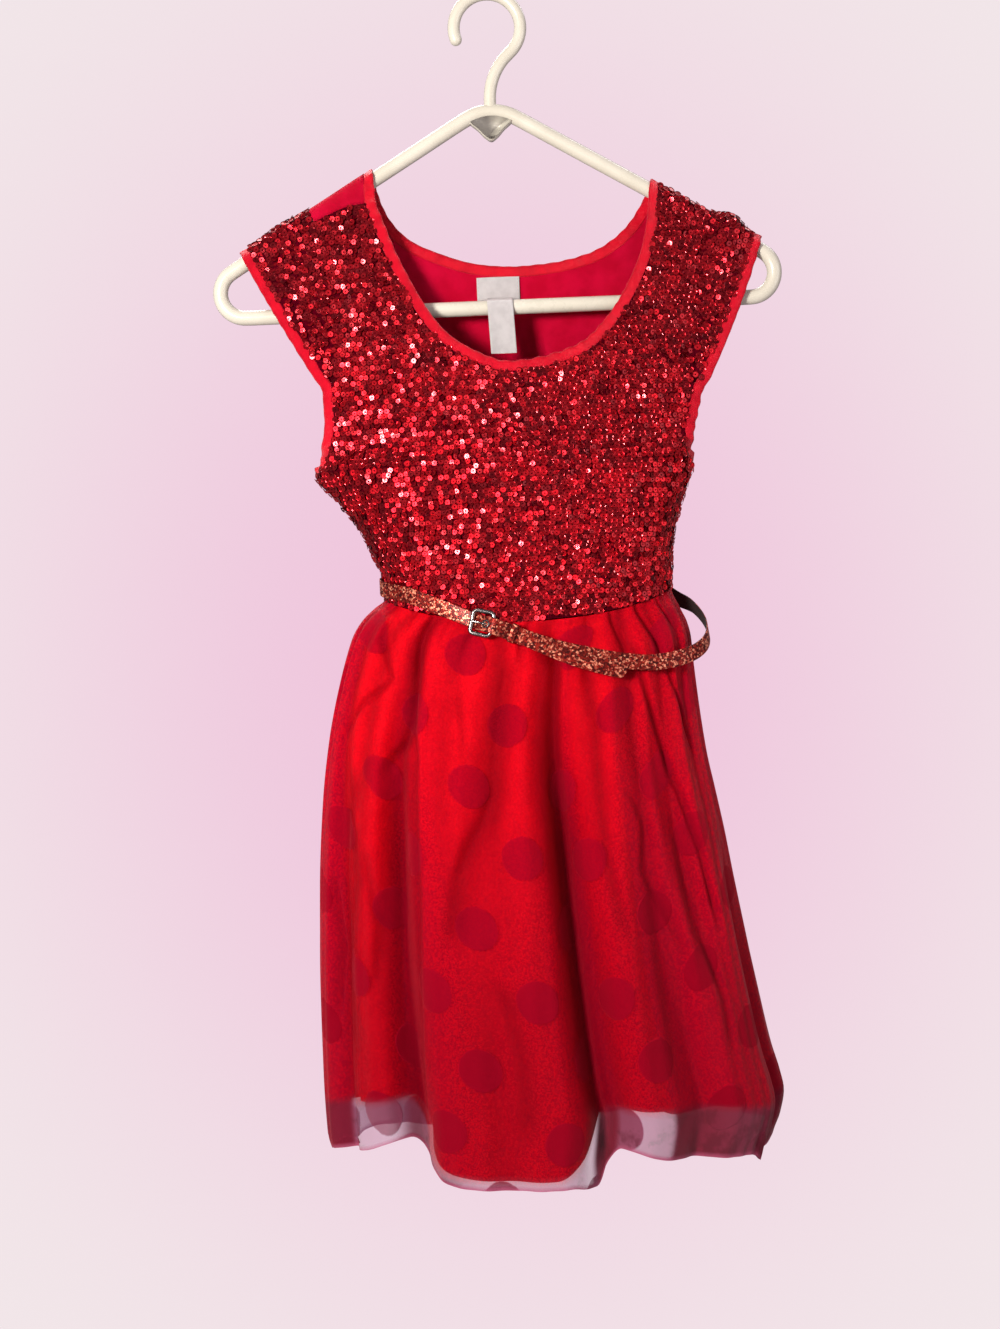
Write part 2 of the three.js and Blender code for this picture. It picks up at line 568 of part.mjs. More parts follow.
function panelSurface(side) {
  return (phi, t) => {
    const high = panelTopRise(side, phi);
    const low = waistZ(side < 0 ? Math.max(0, phi) : -Math.max(0, phi)) + 0.8;
    return bodiceAt(side, phi, mix(low, high, t));
  };
}

// the wall's direction is read a little inside the armhole edge, where columns run together
function panelNormal(side, surface, u, v) {
  const low = surface(u, 0).z;
  const high = panelTopRise(side, u);
  const rise = mix(low, high, v);
  const arm = Math.cos(u) > 0 ? UNDERARM.left : UNDERARM.right;
  const margin = 0.12 * smooth((rise - arm) / 8);
  const phi = Math.min(Math.PI - margin, Math.max(margin, u));
  return normalAt((a, z) => bodiceAt(side, a, z), phi, rise, 0.0015, 0.3);
}

function bodicePanel(name, side, top, wall, color, roughness) {
  const surface = panelSurface(side);
  const seam = 0.2 / 50;
  const us = top.map((p, i) => p.phi + (i === 0 ? seam : 0) - (i === top.length - 1 ? seam : 0));
  const normal = (u, v) => panelNormal(side, surface, u, v);
  const rowsOf = (u) => rowsFor(surface, u, side < 0 ? ROWS_OVER.front : ROWS_OVER.back);
  add(name, clothWall(surface, us, rowsOf, wall, normal), color, roughness);
  return { surface, us, top, normal, rowsOf };
}

const frontPanel = bodicePanel('front_bodice', -1, frontTop, WALL.sequin, COLOR.sequin, 0.4);
const backPanel = bodicePanel('back_bodice', 1, backTop, WALL.jersey, COLOR.jersey, 0.8);

// ---------------------------------------------------------------- cap sleeves
// each cap lies over the end of the tube: seam line to hem line, front foot to back foot
const CAPS = {
  left: {
    seamTop: { x: -139.6, rise: 0 },
    seamFoot: { x: -125.8, z: -271 },
    hemTop: { x: -184.4, z: -178.6 },
    hemFoot: { x: -129.5, z: -273 },
    puff: 1.5,
    bow: 1.2,
  },
  right: {
    seamTop: { x: 163.4, rise: 0 },
    seamFoot: { x: 142.4, z: -283 },
    hemTop: { x: 191, z: -186.4 },
    hemFoot: { x: 145.6, z: -285 },
    puff: 5,
    bow: 2.5,
  },
};

// a cloth point at a distance down from the ridge over the tube, on either side of it
function overTube(x, down, side, out) {
  const r = SHOULDER_R + out;
  const arc = (Math.PI * SHOULDER_R) / 2;
  if (down < arc) {
    const a = down / SHOULDER_R;
    return new THREE.Vector3(x, side * r * Math.sin(a), armZ(x) + r * RIDGE_LIFT * Math.cos(a));
  }
  return new THREE.Vector3(x, side * r, armZ(x) - (down - arc));
}

function capSurface(cap) {
  const arc = (Math.PI * SHOULDER_R) / 2;
  const sign = Math.sign(cap.seamTop.x);
  const arm = sign < 0 ? UNDERARM.left : UNDERARM.right;
  return (a, b) => {
    const side = a < 0 ? -1 : 1;
    const f = Math.abs(a);
    const seamZ = mix(armZ(cap.seamTop.x) + arc, cap.seamFoot.z, f);
    const seamTable = sign < 0 ? LEFT : RIGHT;
    const seamX = tableAt(seamTable, 'z', 'x', seamZ) + sign * (GAP + 0.5);
    const seam = { x: seamX, down: armZ(seamX) + arc - seamZ };
    const hemX = mix(cap.hemTop.x, cap.hemFoot.x, f) + sign * cap.bow * Math.sin(Math.PI * f);
    const hemZ = mix(armZ(cap.hemTop.x) + arc, cap.hemFoot.z, f);
    const x = mix(seam.x, hemX, b);
    const rise = mix(seamZ, hemZ, b);
    const down = Math.max(0, armZ(x) + arc - rise) * smooth(f * CAP_START);
    const belly = cap.puff * Math.sin(Math.PI * b) ** 2 * Math.exp(-(((down - 12) / 26) ** 2));
    const pucker = 0.7 * (1 - b) * Math.sin(f * 46) * smooth(f * 6);
    const edge = tableAt(ARM_EDGE, 'up', 'y', seamZ - arm);
    const stand = (Math.max(edge, SHOULDER_R) - SHOULDER_R) * smooth(down / 40) * mix(1, 0.8, b);
    const lift = 0.2 + 0.9 * b * Math.exp(-((down / 9) ** 2));
    return overTube(x, down, side, belly + pucker + stand + lift);
  };
}

// how soon, away from the ridge, a cap takes its own width
const CAP_START = 20;
const CAP_ACROSS = [0, 0.2, 0.45, 0.75, 1];
const CAP_SIDE = [1, 0.93, 0.84, 0.74, 0.63, 0.52, 0.42, 0.33, 0.25, 0.18, 0.11, 0.07, 0.035];
const CAP_ROUND = [...CAP_SIDE.map((f) => -f), 0, ...CAP_SIDE.toReversed()];

function capSleeve(name, cap) {
  const surface = capSurface(cap);
  const geometry = clothWall(surface, CAP_ROUND, () => CAP_ACROSS, WALL.sequin);
  add(name, geometry, COLOR.sequin, 0.4);
  return surface;
}

const leftCap = capSleeve('left_cap_sleeve', CAPS.left);
const rightCap = capSleeve('right_cap_sleeve', CAPS.right);

// ---------------------------------------------------------------- bindings
// satin tape folded over the raw edges; its stations are the edge points of the panels
function edgeStation(surface, u, v, normal, towards) {
  return { at: surface(u, v), through: normal(u, v), towards };
}

function bindingStations(edge) {
  const n = edge.length;
  return edge.map((s, i) => {
    const along = edge[(i + 1) % n].at.clone().sub(edge[(i + n - 1) % n].at).normalize();
    const through = s.through.clone().addScaledVector(along, -s.through.dot(along)).normalize();
    const across = through.clone().cross(along).normalize();
    if (across.dot(s.towards) < 0) {
      across.negate();
    }
    const reach = GAP + BINDING.width / 2;
    const turned = along.clone().cross(across).normalize();
    return { at: s.at.clone().addScaledVector(across, reach), across, through: turned };
  });
}

function neckBinding() {
  const middle = new THREE.Vector3(14, 0, -150);
  const run = (panel) => panel.top.flatMap((p, i) => {
    const at = panel.surface(panel.us[i], 1);
    const towards = middle.clone().sub(at).setY(0);
    return p.neck ? [edgeStation(panel.surface, panel.us[i], 1, panel.normal, towards)] : [];
  });
  const [front, back] = [run(frontPanel), run(backPanel).reverse()];
  // at each shoulder seam one station stands for both panels
  const join = (a, b) => ({
    at: a.at.clone().lerp(b.at, 0.5),
    through: a.through.clone().addScaledVector(b.through, Math.sign(a.through.dot(b.through))).normalize(),
    towards: a.towards,
  });
  const right = join(front.at(-1), back[0]);
  const left = join(front[0], back.at(-1));
  const edge = [left, ...front.slice(1, -1), right, ...back.slice(1, -1)];
  return sweep(bindingStations(edge), flatSection(BINDING.width, BINDING.thick, 1.1), true);
}

add('neck_binding', neckBinding(), COLOR.satin, 0.45);

function armBinding(sign, cap, capSurfaceOf) {
  const footZ = cap.hemFoot.z - 5;
  const outward = new THREE.Vector3(sign, 0, -0.35);
  const side = (panel) => {
    const u = sign < 0 ? panel.us[0] : panel.us.at(-1);
    const inside = sign < 0 ? 0.4 : Math.PI - 0.4;
    const rows = panel.rowsOf(u).slice(ROWS_LOW.length);
    return rows.filter((t) => panel.surface(u, t).z < footZ).map((t) => {
      const towards = panel.surface(u, t).sub(panel.surface(inside, t - 0.03));
      return edgeStation(panel.surface, u, t, panel.normal, towards);
    });
  };
  const capNormal = (u, v) => normalAt(capSurfaceOf, u, v, 0.004, 0.004);
  const hem = CAP_ROUND.map((a) => edgeStation(capSurfaceOf, a, 1, capNormal, outward));
  const edge = [...side(frontPanel), ...hem, ...side(backPanel).reverse()];
  return sweep(bindingStations(edge), flatSection(BINDING.width, BINDING.thick, 1), true);
}

add('left_armhole_binding', armBinding(-1, CAPS.left, leftCap), COLOR.satin, 0.45);
add('right_armhole_binding', armBinding(1, CAPS.right, rightCap), COLOR.satin, 0.45);

// ---------------------------------------------------------------- skirt
// lining and overlay share one set of gathers and folds and hang one outside the other
function skirtAt(layer, phi, f) {
  const deg = (phi * 180) / Math.PI;
  const top = waistZ(phi);
  const hem = tableAt(layer.hem, 'deg', 'z', deg);
  const z = mix(top, hem, f);
  const fall = (top - z) / (top + 862);
  let inward = layer.near + (layer.far - layer.near) * smooth(fall * 1.2);
  const swell = mix(1.1, 2.6, smooth(fall / 0.12)) * (1 - smooth((fall - 0.15) / 0.5));
  const uneven = 0.75 + 0.25 * Math.sin(deg * 0.21) * Math.sin(deg * 0.057 + 1);
  inward += swell * uneven * (1 - Math.cos(GATHERS * phi));
  for (const fold of FOLDS) {
    const centre = mix(fold.top, fold.hem, fall);
    const grow = smooth((fall - fold.from) / 0.45) * (1 - smooth((fall - fold.to + 0.25) / 0.25));
    inward += layer.share * fold.depth * grow * Math.exp(-(((deg - centre) / fold.wide) ** 2));
  }
  return bodyAt(phi, z).addScaledVector(outwardAt(phi, z), -inward);
}

const SKIRT_ROWS = [0, 0.035, 0.09, 0.17, 0.29, 0.45, 0.63, 0.8, 0.91, 1];
const ORGANZA = { hem: HEM_ORGANZA, near: WALL.organza / 2, far: WALL.organza / 2, share: 0.85 };
const LINING = { hem: HEM_LINING, near: 3.5, far: 8, share: 1 };

function skirtPanels(prefix, layer, wall, perGather, color, roughness) {
  const step = 360 / (perGather * GATHERS);
  const seam = 0.05;
  for (const [name, start] of [['front', 0], ['back', 180]]) {
    const us = [];
    for (let d = 0; d <= 180; d += step) {
      us.push(rad(start + Math.min(180 - seam, Math.max(seam, d))));
    }
    const surface = (phi, f) => skirtAt(layer, phi, f);
    const geometry = clothWall(surface, us, () => SKIRT_ROWS, wall);
    add(`${prefix}_${name}`, geometry, color, roughness);
  }
}

skirtPanels('skirt_overlay', ORGANZA, WALL.organza, 4, COLOR.organza, 0.5);
skirtPanels('skirt_lining', LINING, WALL.lining, 2, COLOR.lining, 0.35);

// ---------------------------------------------------------------- belt
// a station over the cloth: outward normal of the body, and up along it
function beltPoint(phi, z, out) {
  const turn = ((phi % (2 * Math.PI)) + 2 * Math.PI) % (2 * Math.PI);
  const step = 0.004;
  const normal = normalAt(bodyAt, turn, z, step, 3);
  const outward = outwardAt(turn, z);
  if (normal.dot(outward) < 0) {
    normal.negate();
  }
  const lean = normal.clone().lerp(outward, z > WAIST.side - 12 ? 0.9 : 0.3).normalize();
  return { at: bodyAt(turn, z).addScaledVector(lean, out), normal: lean };
}

// the round end of the strap: how far in from its tip, in table rows, and how wide it is there
const TIP_ROUND = [
  { span: 0, scale: 0.3 }, { span: 0.06, scale: 0.66 }, { span: 0.16, scale: 0.9 }, { span: 0.32, scale: 1 },
];

function beltStations() {
  const rows = [];
  for (const row of BELT_FRONT) {
    const phi = phiAt(row.x, row.z);
    rows.push(beltPoint(phi, row.z, row.out + 0.5));
  }
  for (const row of BELT_ROUND) {
    rows.push(beltPoint(rad(row.deg), row.z, row.out + 0.5));
  }
  const ats = new THREE.CatmullRomCurve3(rows.map((r) => r.at), false, 'centripetal');
  const normals = new THREE.CatmullRomCurve3(rows.map((r) => r.normal), false, 'centripetal');
  const spans = rows.length - 1;
  const steps = TIP_ROUND.map((t) => ({ f: t.span / spans, scale: t.scale }));
  for (let i = 1; i <= spans * 2; i += 1) {
    steps.push({ f: i / (spans * 2), scale: 1 });
  }
  return steps.map(({ f, scale }) => (
    { at: ats.getPoint(f), normal: normals.getPoint(f).normalize(), scale }
  ));
}

// the buckle's own axes: along the strap, up across it, out from the dress
function buckleFrame() {
  const x = -21;
  const z = -456.8;
  const { at, normal } = beltPoint(phiAt(x, z), z, 5.9);
  const tilt = rad(BUCKLE.tiltDeg);
  const along = new THREE.Vector3(Math.cos(tilt), 0, Math.sin(tilt));
  along.addScaledVector(normal, -along.dot(normal)).normalize();
  const up = normal.clone().cross(along).normalize();
  if (up.z < 0) {
    up.negate();
  }
  return { at, along, up, out: normal };
}

const BK = buckleFrame();
const onBuckle = (a, u, o) => BK.at.clone()
  .addScaledVector(BK.along, a).addScaledVector(BK.up, u).addScaledVector(BK.out, o);

// where the prong goes through the strap, with the strap's outward direction there
function eyeletMatrix() {
  const stations = beltStations().slice(0, 40);
  const near = (s) => Math.abs(s.at.x - EYELET.x);
  const i = stations.reduce((best, s, j) => (near(s) < near(stations[best]) ? j : best), 0);
  const along = stations[i + 1].at.clone().sub(stations[i - 1].at).normalize();
  const across = stations[i].normal.clone().cross(along).normalize();
  const out = along.clone().cross(across).normalize();
  if (out.dot(stations[i].normal) < 0) {
    out.negate();
  }
  const at = stations[i].at.clone().addScaledVector(along, -(EYELET.x - stations[i].at.x));
  const matrix = new THREE.Matrix4().makeBasis(out.clone().cross(across), out, across);
  return matrix.setPosition(at);
}

function strapSweep() {
  const stations = beltStations();
  const list = stations.map((s, i) => {
    const before = stations[Math.max(0, i - 1)].at;
    const after = stations[Math.min(stations.length - 1, i + 1)].at;
    const along = after.clone().sub(before).normalize();
    const across = s.normal.clone().cross(along).normalize();
    return { at: s.at, across, through: along.clone().cross(across).normalize(), scale: s.scale };
  });
  // the buckle end turns round the frame's right bar and stops on its outer side
  const bend = BUCKLE.wire + 0.25 + STRAP.thick / 2;
  const last = list.at(-1);
  for (let i = 0; i <= 7; i += 1) {
    const a = mix(-Math.PI / 2, -Math.PI * 1.5, i / 7);
    const at = onBuckle(BUCKLE.length / 2 + bend * Math.cos(a), 0, bend * Math.sin(a));
    const radial = BK.along.clone().multiplyScalar(Math.cos(a)).addScaledVector(BK.out, Math.sin(a));
    const across = BK.up.clone().multiplyScalar(Math.sign(last.across.dot(BK.up)));
    list.push({ at, across, through: radial.negate() });
  }
  const end = onBuckle(BUCKLE.length / 2 + 1, 0, bend);
  list.push({ at: end, across: list.at(-1).across, through: BK.out.clone().negate() });
  const hole = new THREE.CylinderGeometry(EYELET.hole, EYELET.hole, 5, 14);
  hole.applyMatrix4(eyeletMatrix());
  const strap = toManifold(sweep(list, boxSection(STRAP.width, STRAP.thick), false));
  return fromManifold(strap.subtract(toManifold(hole)));
}

add('belt_strap', strapSweep(), COLOR.belt, 0.5);

function ringPath(length, height, corner, steps) {
  const path = [];
  const [a, b] = [length / 2 - corner, height / 2 - corner];
  const corners = [[a, b, 0], [-a, b, 90], [-a, -b, 180], [a, -b, 270]];
  for (const [cx, cy, start] of corners) {
    for (let i = 0; i <= steps; i += 1) {
      const t = rad(start + (90 * i) / steps);
      path.push([cx + corner * Math.cos(t), cy + corner * Math.sin(t)]);
    }
  }
  return path;
}

function buckleRing() {
  const path = ringPath(BUCKLE.length, BUCKLE.height, BUCKLE.corner, 3);
  const n = path.length;
  const stations = path.map(([a, u], i) => {
    const [p, q] = [path[(i + n - 1) % n], path[(i + 1) % n]];
    const along = BK.along.clone().multiplyScalar(q[0] - p[0]).addScaledVector(BK.up, q[1] - p[1]);
    along.normalize();
    return { at: onBuckle(a, u, 0), across: along.clone().cross(BK.out).normalize(), through: BK.out };
  });
  return sweep(stations, roundSection(BUCKLE.wire, 8), true);
}

add('belt_buckle', buckleRing(), COLOR.steel, 0.25, 1);

function eyelet() {
  const ring = new THREE.Shape();
  ring.absarc(0, 0, EYELET.outer, 0, Math.PI * 2);
  const bore = new THREE.Path();
  bore.absarc(0, 0, EYELET.hole + 0.1, 0, Math.PI * 2, true);
  ring.holes.push(bore);
  const options = { depth: EYELET.thick, bevelEnabled: false, curveSegments: 8 };
  const geometry = new THREE.ExtrudeGeometry(ring, options);
  geometry.rotateX(-Math.PI / 2);
  geometry.translate(0, STRAP.thick / 2 + 0.15, 0);
  geometry.applyMatrix4(eyeletMatrix());
  return geometry;
}

add('belt_eyelet', eyelet(), COLOR.steel, 0.3, 1);

// the prong comes up through the eyelet and its point rests on the frame's left bar
function prong() {
  const eye = new THREE.Vector3().setFromMatrixPosition(eyeletMatrix()).sub(BK.at);
  const [ea, eu, eo] = [eye.dot(BK.along), eye.dot(BK.up), eye.dot(BK.out)];
  const run = [
    [-9, 2.8], [-5, 3], [ea - 3.6, Math.max(3, eo + 1.2)], [ea - 1.6, eo + 1.9], [ea - 0.3, eo + 1],
    [ea + 0.3, eo - 0.4], [ea + 0.5, eo - 1.6],
  ];
  const path = new THREE.CatmullRomCurve3(run.map(([a, o]) => onBuckle(a, eu, o)));
  const stations = path.getPoints(14).map((at, i) => {
    const along = path.getTangent(i / 14);
    return { at, across: BK.up, through: along.clone().cross(BK.up).normalize() };
  });
  return sweep(stations, roundSection(PRONG.radius, 6), false);
}

add('belt_prong', prong(), COLOR.steel, 0.3, 1);

function keeper() {
  const { at, normal } = beltPoint(phiAt(KEEPER.x, KEEPER.z), KEEPER.z, 4.6);
  const stations = ringPath(KEEPER.height, KEEPER.depth, 1, 2).map(([u, o], i, all) => {
    const [p, q] = [all.at(i - 1), all[(i + 1) % all.length]];
    const slope = rad(-22);
    const strap = new THREE.Vector3(Math.cos(slope), 0, Math.sin(slope));
    strap.addScaledVector(normal, -strap.dot(normal)).normalize();
    const up = normal.clone().cross(strap).normalize();
    const along = up.clone().multiplyScalar(q[0] - p[0]).addScaledVector(normal, q[1] - p[1]).normalize();
    const point = at.clone().addScaledVector(up, u).addScaledVector(normal, o);
    return { at: point, across: strap, through: along.clone().cross(strap).normalize() };
  });
  return sweep(stations, boxSection(KEEPER.width, KEEPER.wall), true);
}

add('belt_keeper', keeper(), COLOR.belt, 0.5);

// ---------------------------------------------------------------- labels
// labels sewn inside the back neck; the care label falls forward over the hanger's bar
const LABEL = { left: -15.5, right: 16.5, top: -199.5, bottom: -216.5, off: 0.69 };
const CARE = { left: -8.5, right: 10.5, lean: 0.04, top: -216 };
const CARE_DROP = [
  { y: 9.2, z: -215.8 }, { y: 4.4, z: -216.9 }, { y: 0, z: -218.1 }, { y: -4.4, z: -219.9 },
  { y: -6.2, z: -224.3 }, { y: -6.6, z: -231 }, { y: -6.5, z: -245 }, { y: -6.3, z: -259 },
];

function brandLabel() {
  const surface = (a, v) => {
    const z = mix(LABEL.bottom, LABEL.top, v);
    const x = mix(LABEL.left, LABEL.right, a);
    const cloth = bodiceAt(1, phiAt(x, z), z).y - WALL.jersey / 2;
    return new THREE.Vector3(x, cloth - LABEL.off - WALL.label / 2, z);
  };
  return clothWall(surface, [0, 0.15, 0.3, 0.45, 0.6, 0.75, 0.88, 1], () => [0, 0.5, 1], WALL.label);
}

function careLabel() {
  const spine = new THREE.SplineCurve(CARE_DROP.map((p) => new THREE.Vector2(p.y, p.z)));
  const surface = (a, v) => {
    const p = spine.getPoint(Math.min(1, Math.max(0, v)));
    const x = mix(CARE.left, CARE.right, a) - CARE.lean * (p.y - CARE.top);
    return new THREE.Vector3(x, p.x, p.y);
  };
  const rows = Array.from({ length: 15 }, (_, i) => i / 14);
  return clothWall(surface, [0, 0.5, 1], () => rows, WALL.label);
}

add('brand_label', brandLabel(), COLOR.label, 0.6);
add('care_label', careLabel(), COLOR.label, 0.6);

export default group;
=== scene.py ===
import math

import bpy
import numpy as np
from mathutils import Matrix, Vector


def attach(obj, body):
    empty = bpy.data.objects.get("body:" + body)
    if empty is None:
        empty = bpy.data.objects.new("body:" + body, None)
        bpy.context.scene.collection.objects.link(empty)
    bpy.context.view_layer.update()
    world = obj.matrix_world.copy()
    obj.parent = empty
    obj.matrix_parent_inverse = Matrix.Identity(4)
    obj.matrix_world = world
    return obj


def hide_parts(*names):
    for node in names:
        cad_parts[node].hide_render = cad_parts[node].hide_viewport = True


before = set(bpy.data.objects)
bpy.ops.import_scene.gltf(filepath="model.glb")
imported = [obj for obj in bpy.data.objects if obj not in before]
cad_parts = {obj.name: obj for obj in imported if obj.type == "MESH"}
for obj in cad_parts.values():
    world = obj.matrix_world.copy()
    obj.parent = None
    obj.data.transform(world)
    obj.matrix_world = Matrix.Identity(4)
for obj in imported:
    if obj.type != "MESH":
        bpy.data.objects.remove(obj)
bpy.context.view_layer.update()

# ---------------------------------------------------------------- hanger
# The real piece is one loop of 11 mm gloss polystyrene tube with an eye at each end, a small
# web under the apex and a rod hook; it is moulded in one, so its corners all run soft.
TUBE, SLOPE, APEX = 5.5, 0.589, -75.0
EYE_X, EYE_R, BAR = 187.5, 18.0, -224.3
ROD, HOOK_R = 4.5, 20.0


def smooth(v):
    """0 to 1 along 3v^2 - 2v^3, flat outside."""
    v = np.clip(v, 0, 1)
    return v * v * (3 - 2 * v)


def mix(a, b, t):
    """a at t = 0 and b at t = 1, in a straight line."""
    return a + (b - a) * t


def unit(v):
    """Vectors over their own lengths."""
    return v / np.maximum(np.linalg.norm(v, axis=-1, keepdims=True), 1e-9)


def xyz(x, y, z):
    """Three arrays as points, spread to one shape."""
    return np.stack(np.broadcast_arrays(x, y, z), -1).astype(float)


def arm_z(x):
    """Height of the tube's axis: the apex less the slope times the distance from the middle."""
    return APEX - SLOPE * np.abs(x)


class Num:
    """A number in a material; sums on it add Math nodes."""

    def __init__(self, finish, socket):
        self.finish, self.socket = finish, socket

    def __add__(self, other):
        return self.finish.maths("ADD", self, other)

    def __sub__(self, other):
        return self.finish.maths("SUBTRACT", self, other)

    def __mul__(self, other):
        return self.finish.maths("MULTIPLY", self, other)

    def __truediv__(self, other):
        return self.finish.maths("DIVIDE", self, other)

    def __rsub__(self, other):
        return self.finish.maths("SUBTRACT", other, self)

    def sine(self):
        """Its sine, in radians."""
        return self.finish.maths("SINE", self)


class Finish:
    """A procedural material: fixed sockets go straight on its shader, the rest is linked."""

    def __init__(self, name, **fixed):
        self.material = bpy.data.materials.new(name)
        self.material.use_nodes = True
        self.tree = self.material.node_tree
        self.shader = self.tree.nodes["Principled BSDF"]
        for key, value in fixed.items():
            self.shader.inputs[key.replace("_", " ")].default_value = value

    def node(self, kind, settings, sockets, out=0):
        """Any node: its type, settings, its sockets' values or links, and the output used."""
        node = self.tree.nodes.new("ShaderNode" + kind)
        for key, value in settings.items():
            if key == "stops":
                for stop, (place, colour) in zip(node.color_ramp.elements, value):
                    stop.position, stop.color = place, (*colour, 1)
            else:
                setattr(node, key, value)
        for key, value in sockets.items():
            if isinstance(value, Num):
                self.tree.links.new(value.socket, node.inputs[key])
            else:
                node.inputs[key].default_value = value
        return Num(self, node.outputs[out])

    def maths(self, operation, a, b=0.0, c=0.0):
        """One Math node."""
        return self.node("Math", {"operation": operation}, {0: a, 1: b, 2: c})

    def step(self, value, low, high):
        """Smooth 0 to 1 as value goes from low to high."""
        settings = {"interpolation_type": "SMOOTHSTEP"}
        return self.node("MapRange", settings, {"Value": value, "From Min": low, "From Max": high})

    def blend(self, mask, a, b):
        """Colour a where mask is 0 and b where it is 1."""
        a, b = (c if isinstance(c, Num) else (*c, 1) for c in (a, b))
        return self.node("Mix", {"data_type": "RGBA"}, {0: mask, 6: a, 7: b}, 2)

    def place(self):
        """Object coordinates, in metres."""
        return self.node("TexCoord", {}, {}, 3)

    def noise(self, scale, detail=2.0, rough=0.5):
        """Noise of 0 to 1 with scale cells a metre."""
        sockets = {"Vector": self.place(), "Scale": scale, "Detail": detail, "Roughness": rough}
        return self.node("TexNoise", {}, sockets)

    def mark(self, name):
        """A value that build() put on the mesh's points."""
        return self.node("Attribute", {"attribute_name": name}, {}, 2)

    def cells(self, scale):
        """Two chance numbers for each of scale cells a metre."""
        colour = self.node("TexVoronoi", {}, {"Vector": self.place(), "Scale": scale}, 1)
        return (self.node("SeparateColor", {}, {0: colour}, part) for part in (0, 1))

    def uv(self):
        """The piece's own u and v, in millimetres of cloth or of tube."""
        where = self.node("UVMap", {"uv_map": "cloth"}, {})
        return (self.node("SeparateXYZ", {}, {0: where}, axis) for axis in (0, 1))

    def link(self, **sockets):
        """Values into the shader's own sockets."""
        for key, value in sockets.items():
            self.tree.links.new(value.socket, self.shader.inputs[key.replace("_", " ")])
        return self

    def bump(self, height, depth, strength=1.0):
        """Relief of depth metres where height goes from 0 to 1."""
        sockets = {"Height": height, "Distance": depth, "Strength": strength}
        self.tree.links.new(self.node("Bump", {}, sockets).socket, self.shader.inputs["Normal"])
        return self


def uv_grid(u, v):
    """A map with u down the rows and v along the columns."""
    return np.stack(np.meshgrid(u, v, indexing="ij"), -1)


def add(name, data):
    """A new object, in the scene."""
    thing = bpy.data.objects.new(name, data)
    bpy.context.scene.collection.objects.link(thing)
    return thing


def shape(name, spots, corners, sizes, finish, nodes, maps=None, wall=0.0, marks=None):
    """One object from millimetre points and its faces' corners end to end, each with as many
    corners as sizes says. Mapped faces are smooth; marks are values on the points."""
    mesh = bpy.data.meshes.new(name)
    mesh.vertices.add(len(spots))
    mesh.vertices.foreach_set("co", spots.ravel() * 0.001)
    mesh.loops.add(len(corners))
    mesh.loops.foreach_set("vertex_index", corners.astype(np.int32))
    mesh.polygons.add(len(sizes))
    mesh.polygons.foreach_set("loop_start", (np.cumsum(sizes) - sizes).astype(np.int32))
    mesh.polygons.foreach_set("use_smooth", np.full(len(sizes), maps is not None))
    if maps is not None:
        mesh.uv_layers.new(name="cloth").data.foreach_set("uv", maps.ravel())
    for key, value in (marks or {}).items():
        mesh.attributes.new(key, "FLOAT", "POINT").data.foreach_set("value", np.ravel(value))
    mesh.update(calc_edges=True)
    mesh.validate()
    mesh.materials.append(finish.material)
    piece = add(name, mesh)
    if wall:
        solid = piece.modifiers.new("wall", "SOLIDIFY")
        solid.thickness, solid.offset = wall * 0.001, 0
    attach(piece, "root")
    if nodes:
        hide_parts(*nodes)
    return piece


def build(name, parts, finish, nodes, wall=0.0, marks=None):
    """One object from grids of points. A part is (points, rings, uv): rings names the sides that
    close, "r" rows and "c" columns, and "k" caps the first and last row. Each grid is turned so
    that its faces point away from the dress's axis, or out of its own closed form."""
    base, spots, corners, sizes, maps = 0, [], [], [], []
    for points, rings, uv in parts:
        rows, cols = points.shape[:2]
        ids = np.arange(rows * cols).reshape(rows, cols)
        ids = np.vstack((ids, ids[:1])) if "r" in rings else ids
        ids = np.hstack((ids, ids[:, :1])) if "c" in rings else ids
        if uv is None:
            uv = uv_grid(*map(np.arange, ids.shape))
        this, after = slice(None, -1), slice(1, None)
        turn = [(this, this), (after, this), (after, after), (this, after)]
        flat = points.reshape(-1, 3)
        quads = np.stack([ids[t] for t in turn], -1).reshape(-1, 4)
        quad_uv = np.stack([uv[t] for t in turn], 2).reshape(-1, 4, 2)
        a, b, c, d = (flat[quads[:, k]] for k in range(4))
        middle = np.array([10.0, 0.0, flat[:, 2].mean()])
        outward = np.einsum("ij,ij->", np.cross(c - a, d - b), (a + c) / 2 - middle)
        if outward < 0:
            quads, quad_uv = quads[:, ::-1], quad_uv[:, ::-1]
        corners.append(quads.ravel() + base)
        sizes.append(np.full(len(quads), 4))
        maps.append(quad_uv.reshape(-1, 2))
        if "k" in rings:
            for ring, back in ((ids[0, :cols], outward > 0), (ids[-1, :cols], outward < 0)):
                ring = ring[::-1] if back else ring
                corners.append(ring + base)
                sizes.append(np.array([cols]))
                maps.append(np.zeros((cols, 2)))
        spots.append(flat)
        base += rows * cols
    spots, corners, sizes, maps = map(np.concatenate, (spots, corners, sizes, maps))
    return shape(name, spots, corners, sizes, finish, nodes, maps, wall, marks)


def lengths(path):
    """Distance along a path to each of its points."""
    return np.concatenate(([0], np.linalg.norm(np.diff(path, axis=0), axis=1).cumsum()))


def along(path, closed=False):
    """Directions along a path."""
    return unit(np.roll(path, -1, 0) - np.roll(path, 1, 0) if closed else np.gradient(path, axis=0))


def slopes(form, *at, steps):
    """Directions on a form's surface, as differences over steps to both sides of its last two
    parameters."""
    (*first, a, b), (da, db) = at, steps
    return (form(*first, a + da, b) - form(*first, a - da, b),
            form(*first, a, b + db) - form(*first, a, b - db))


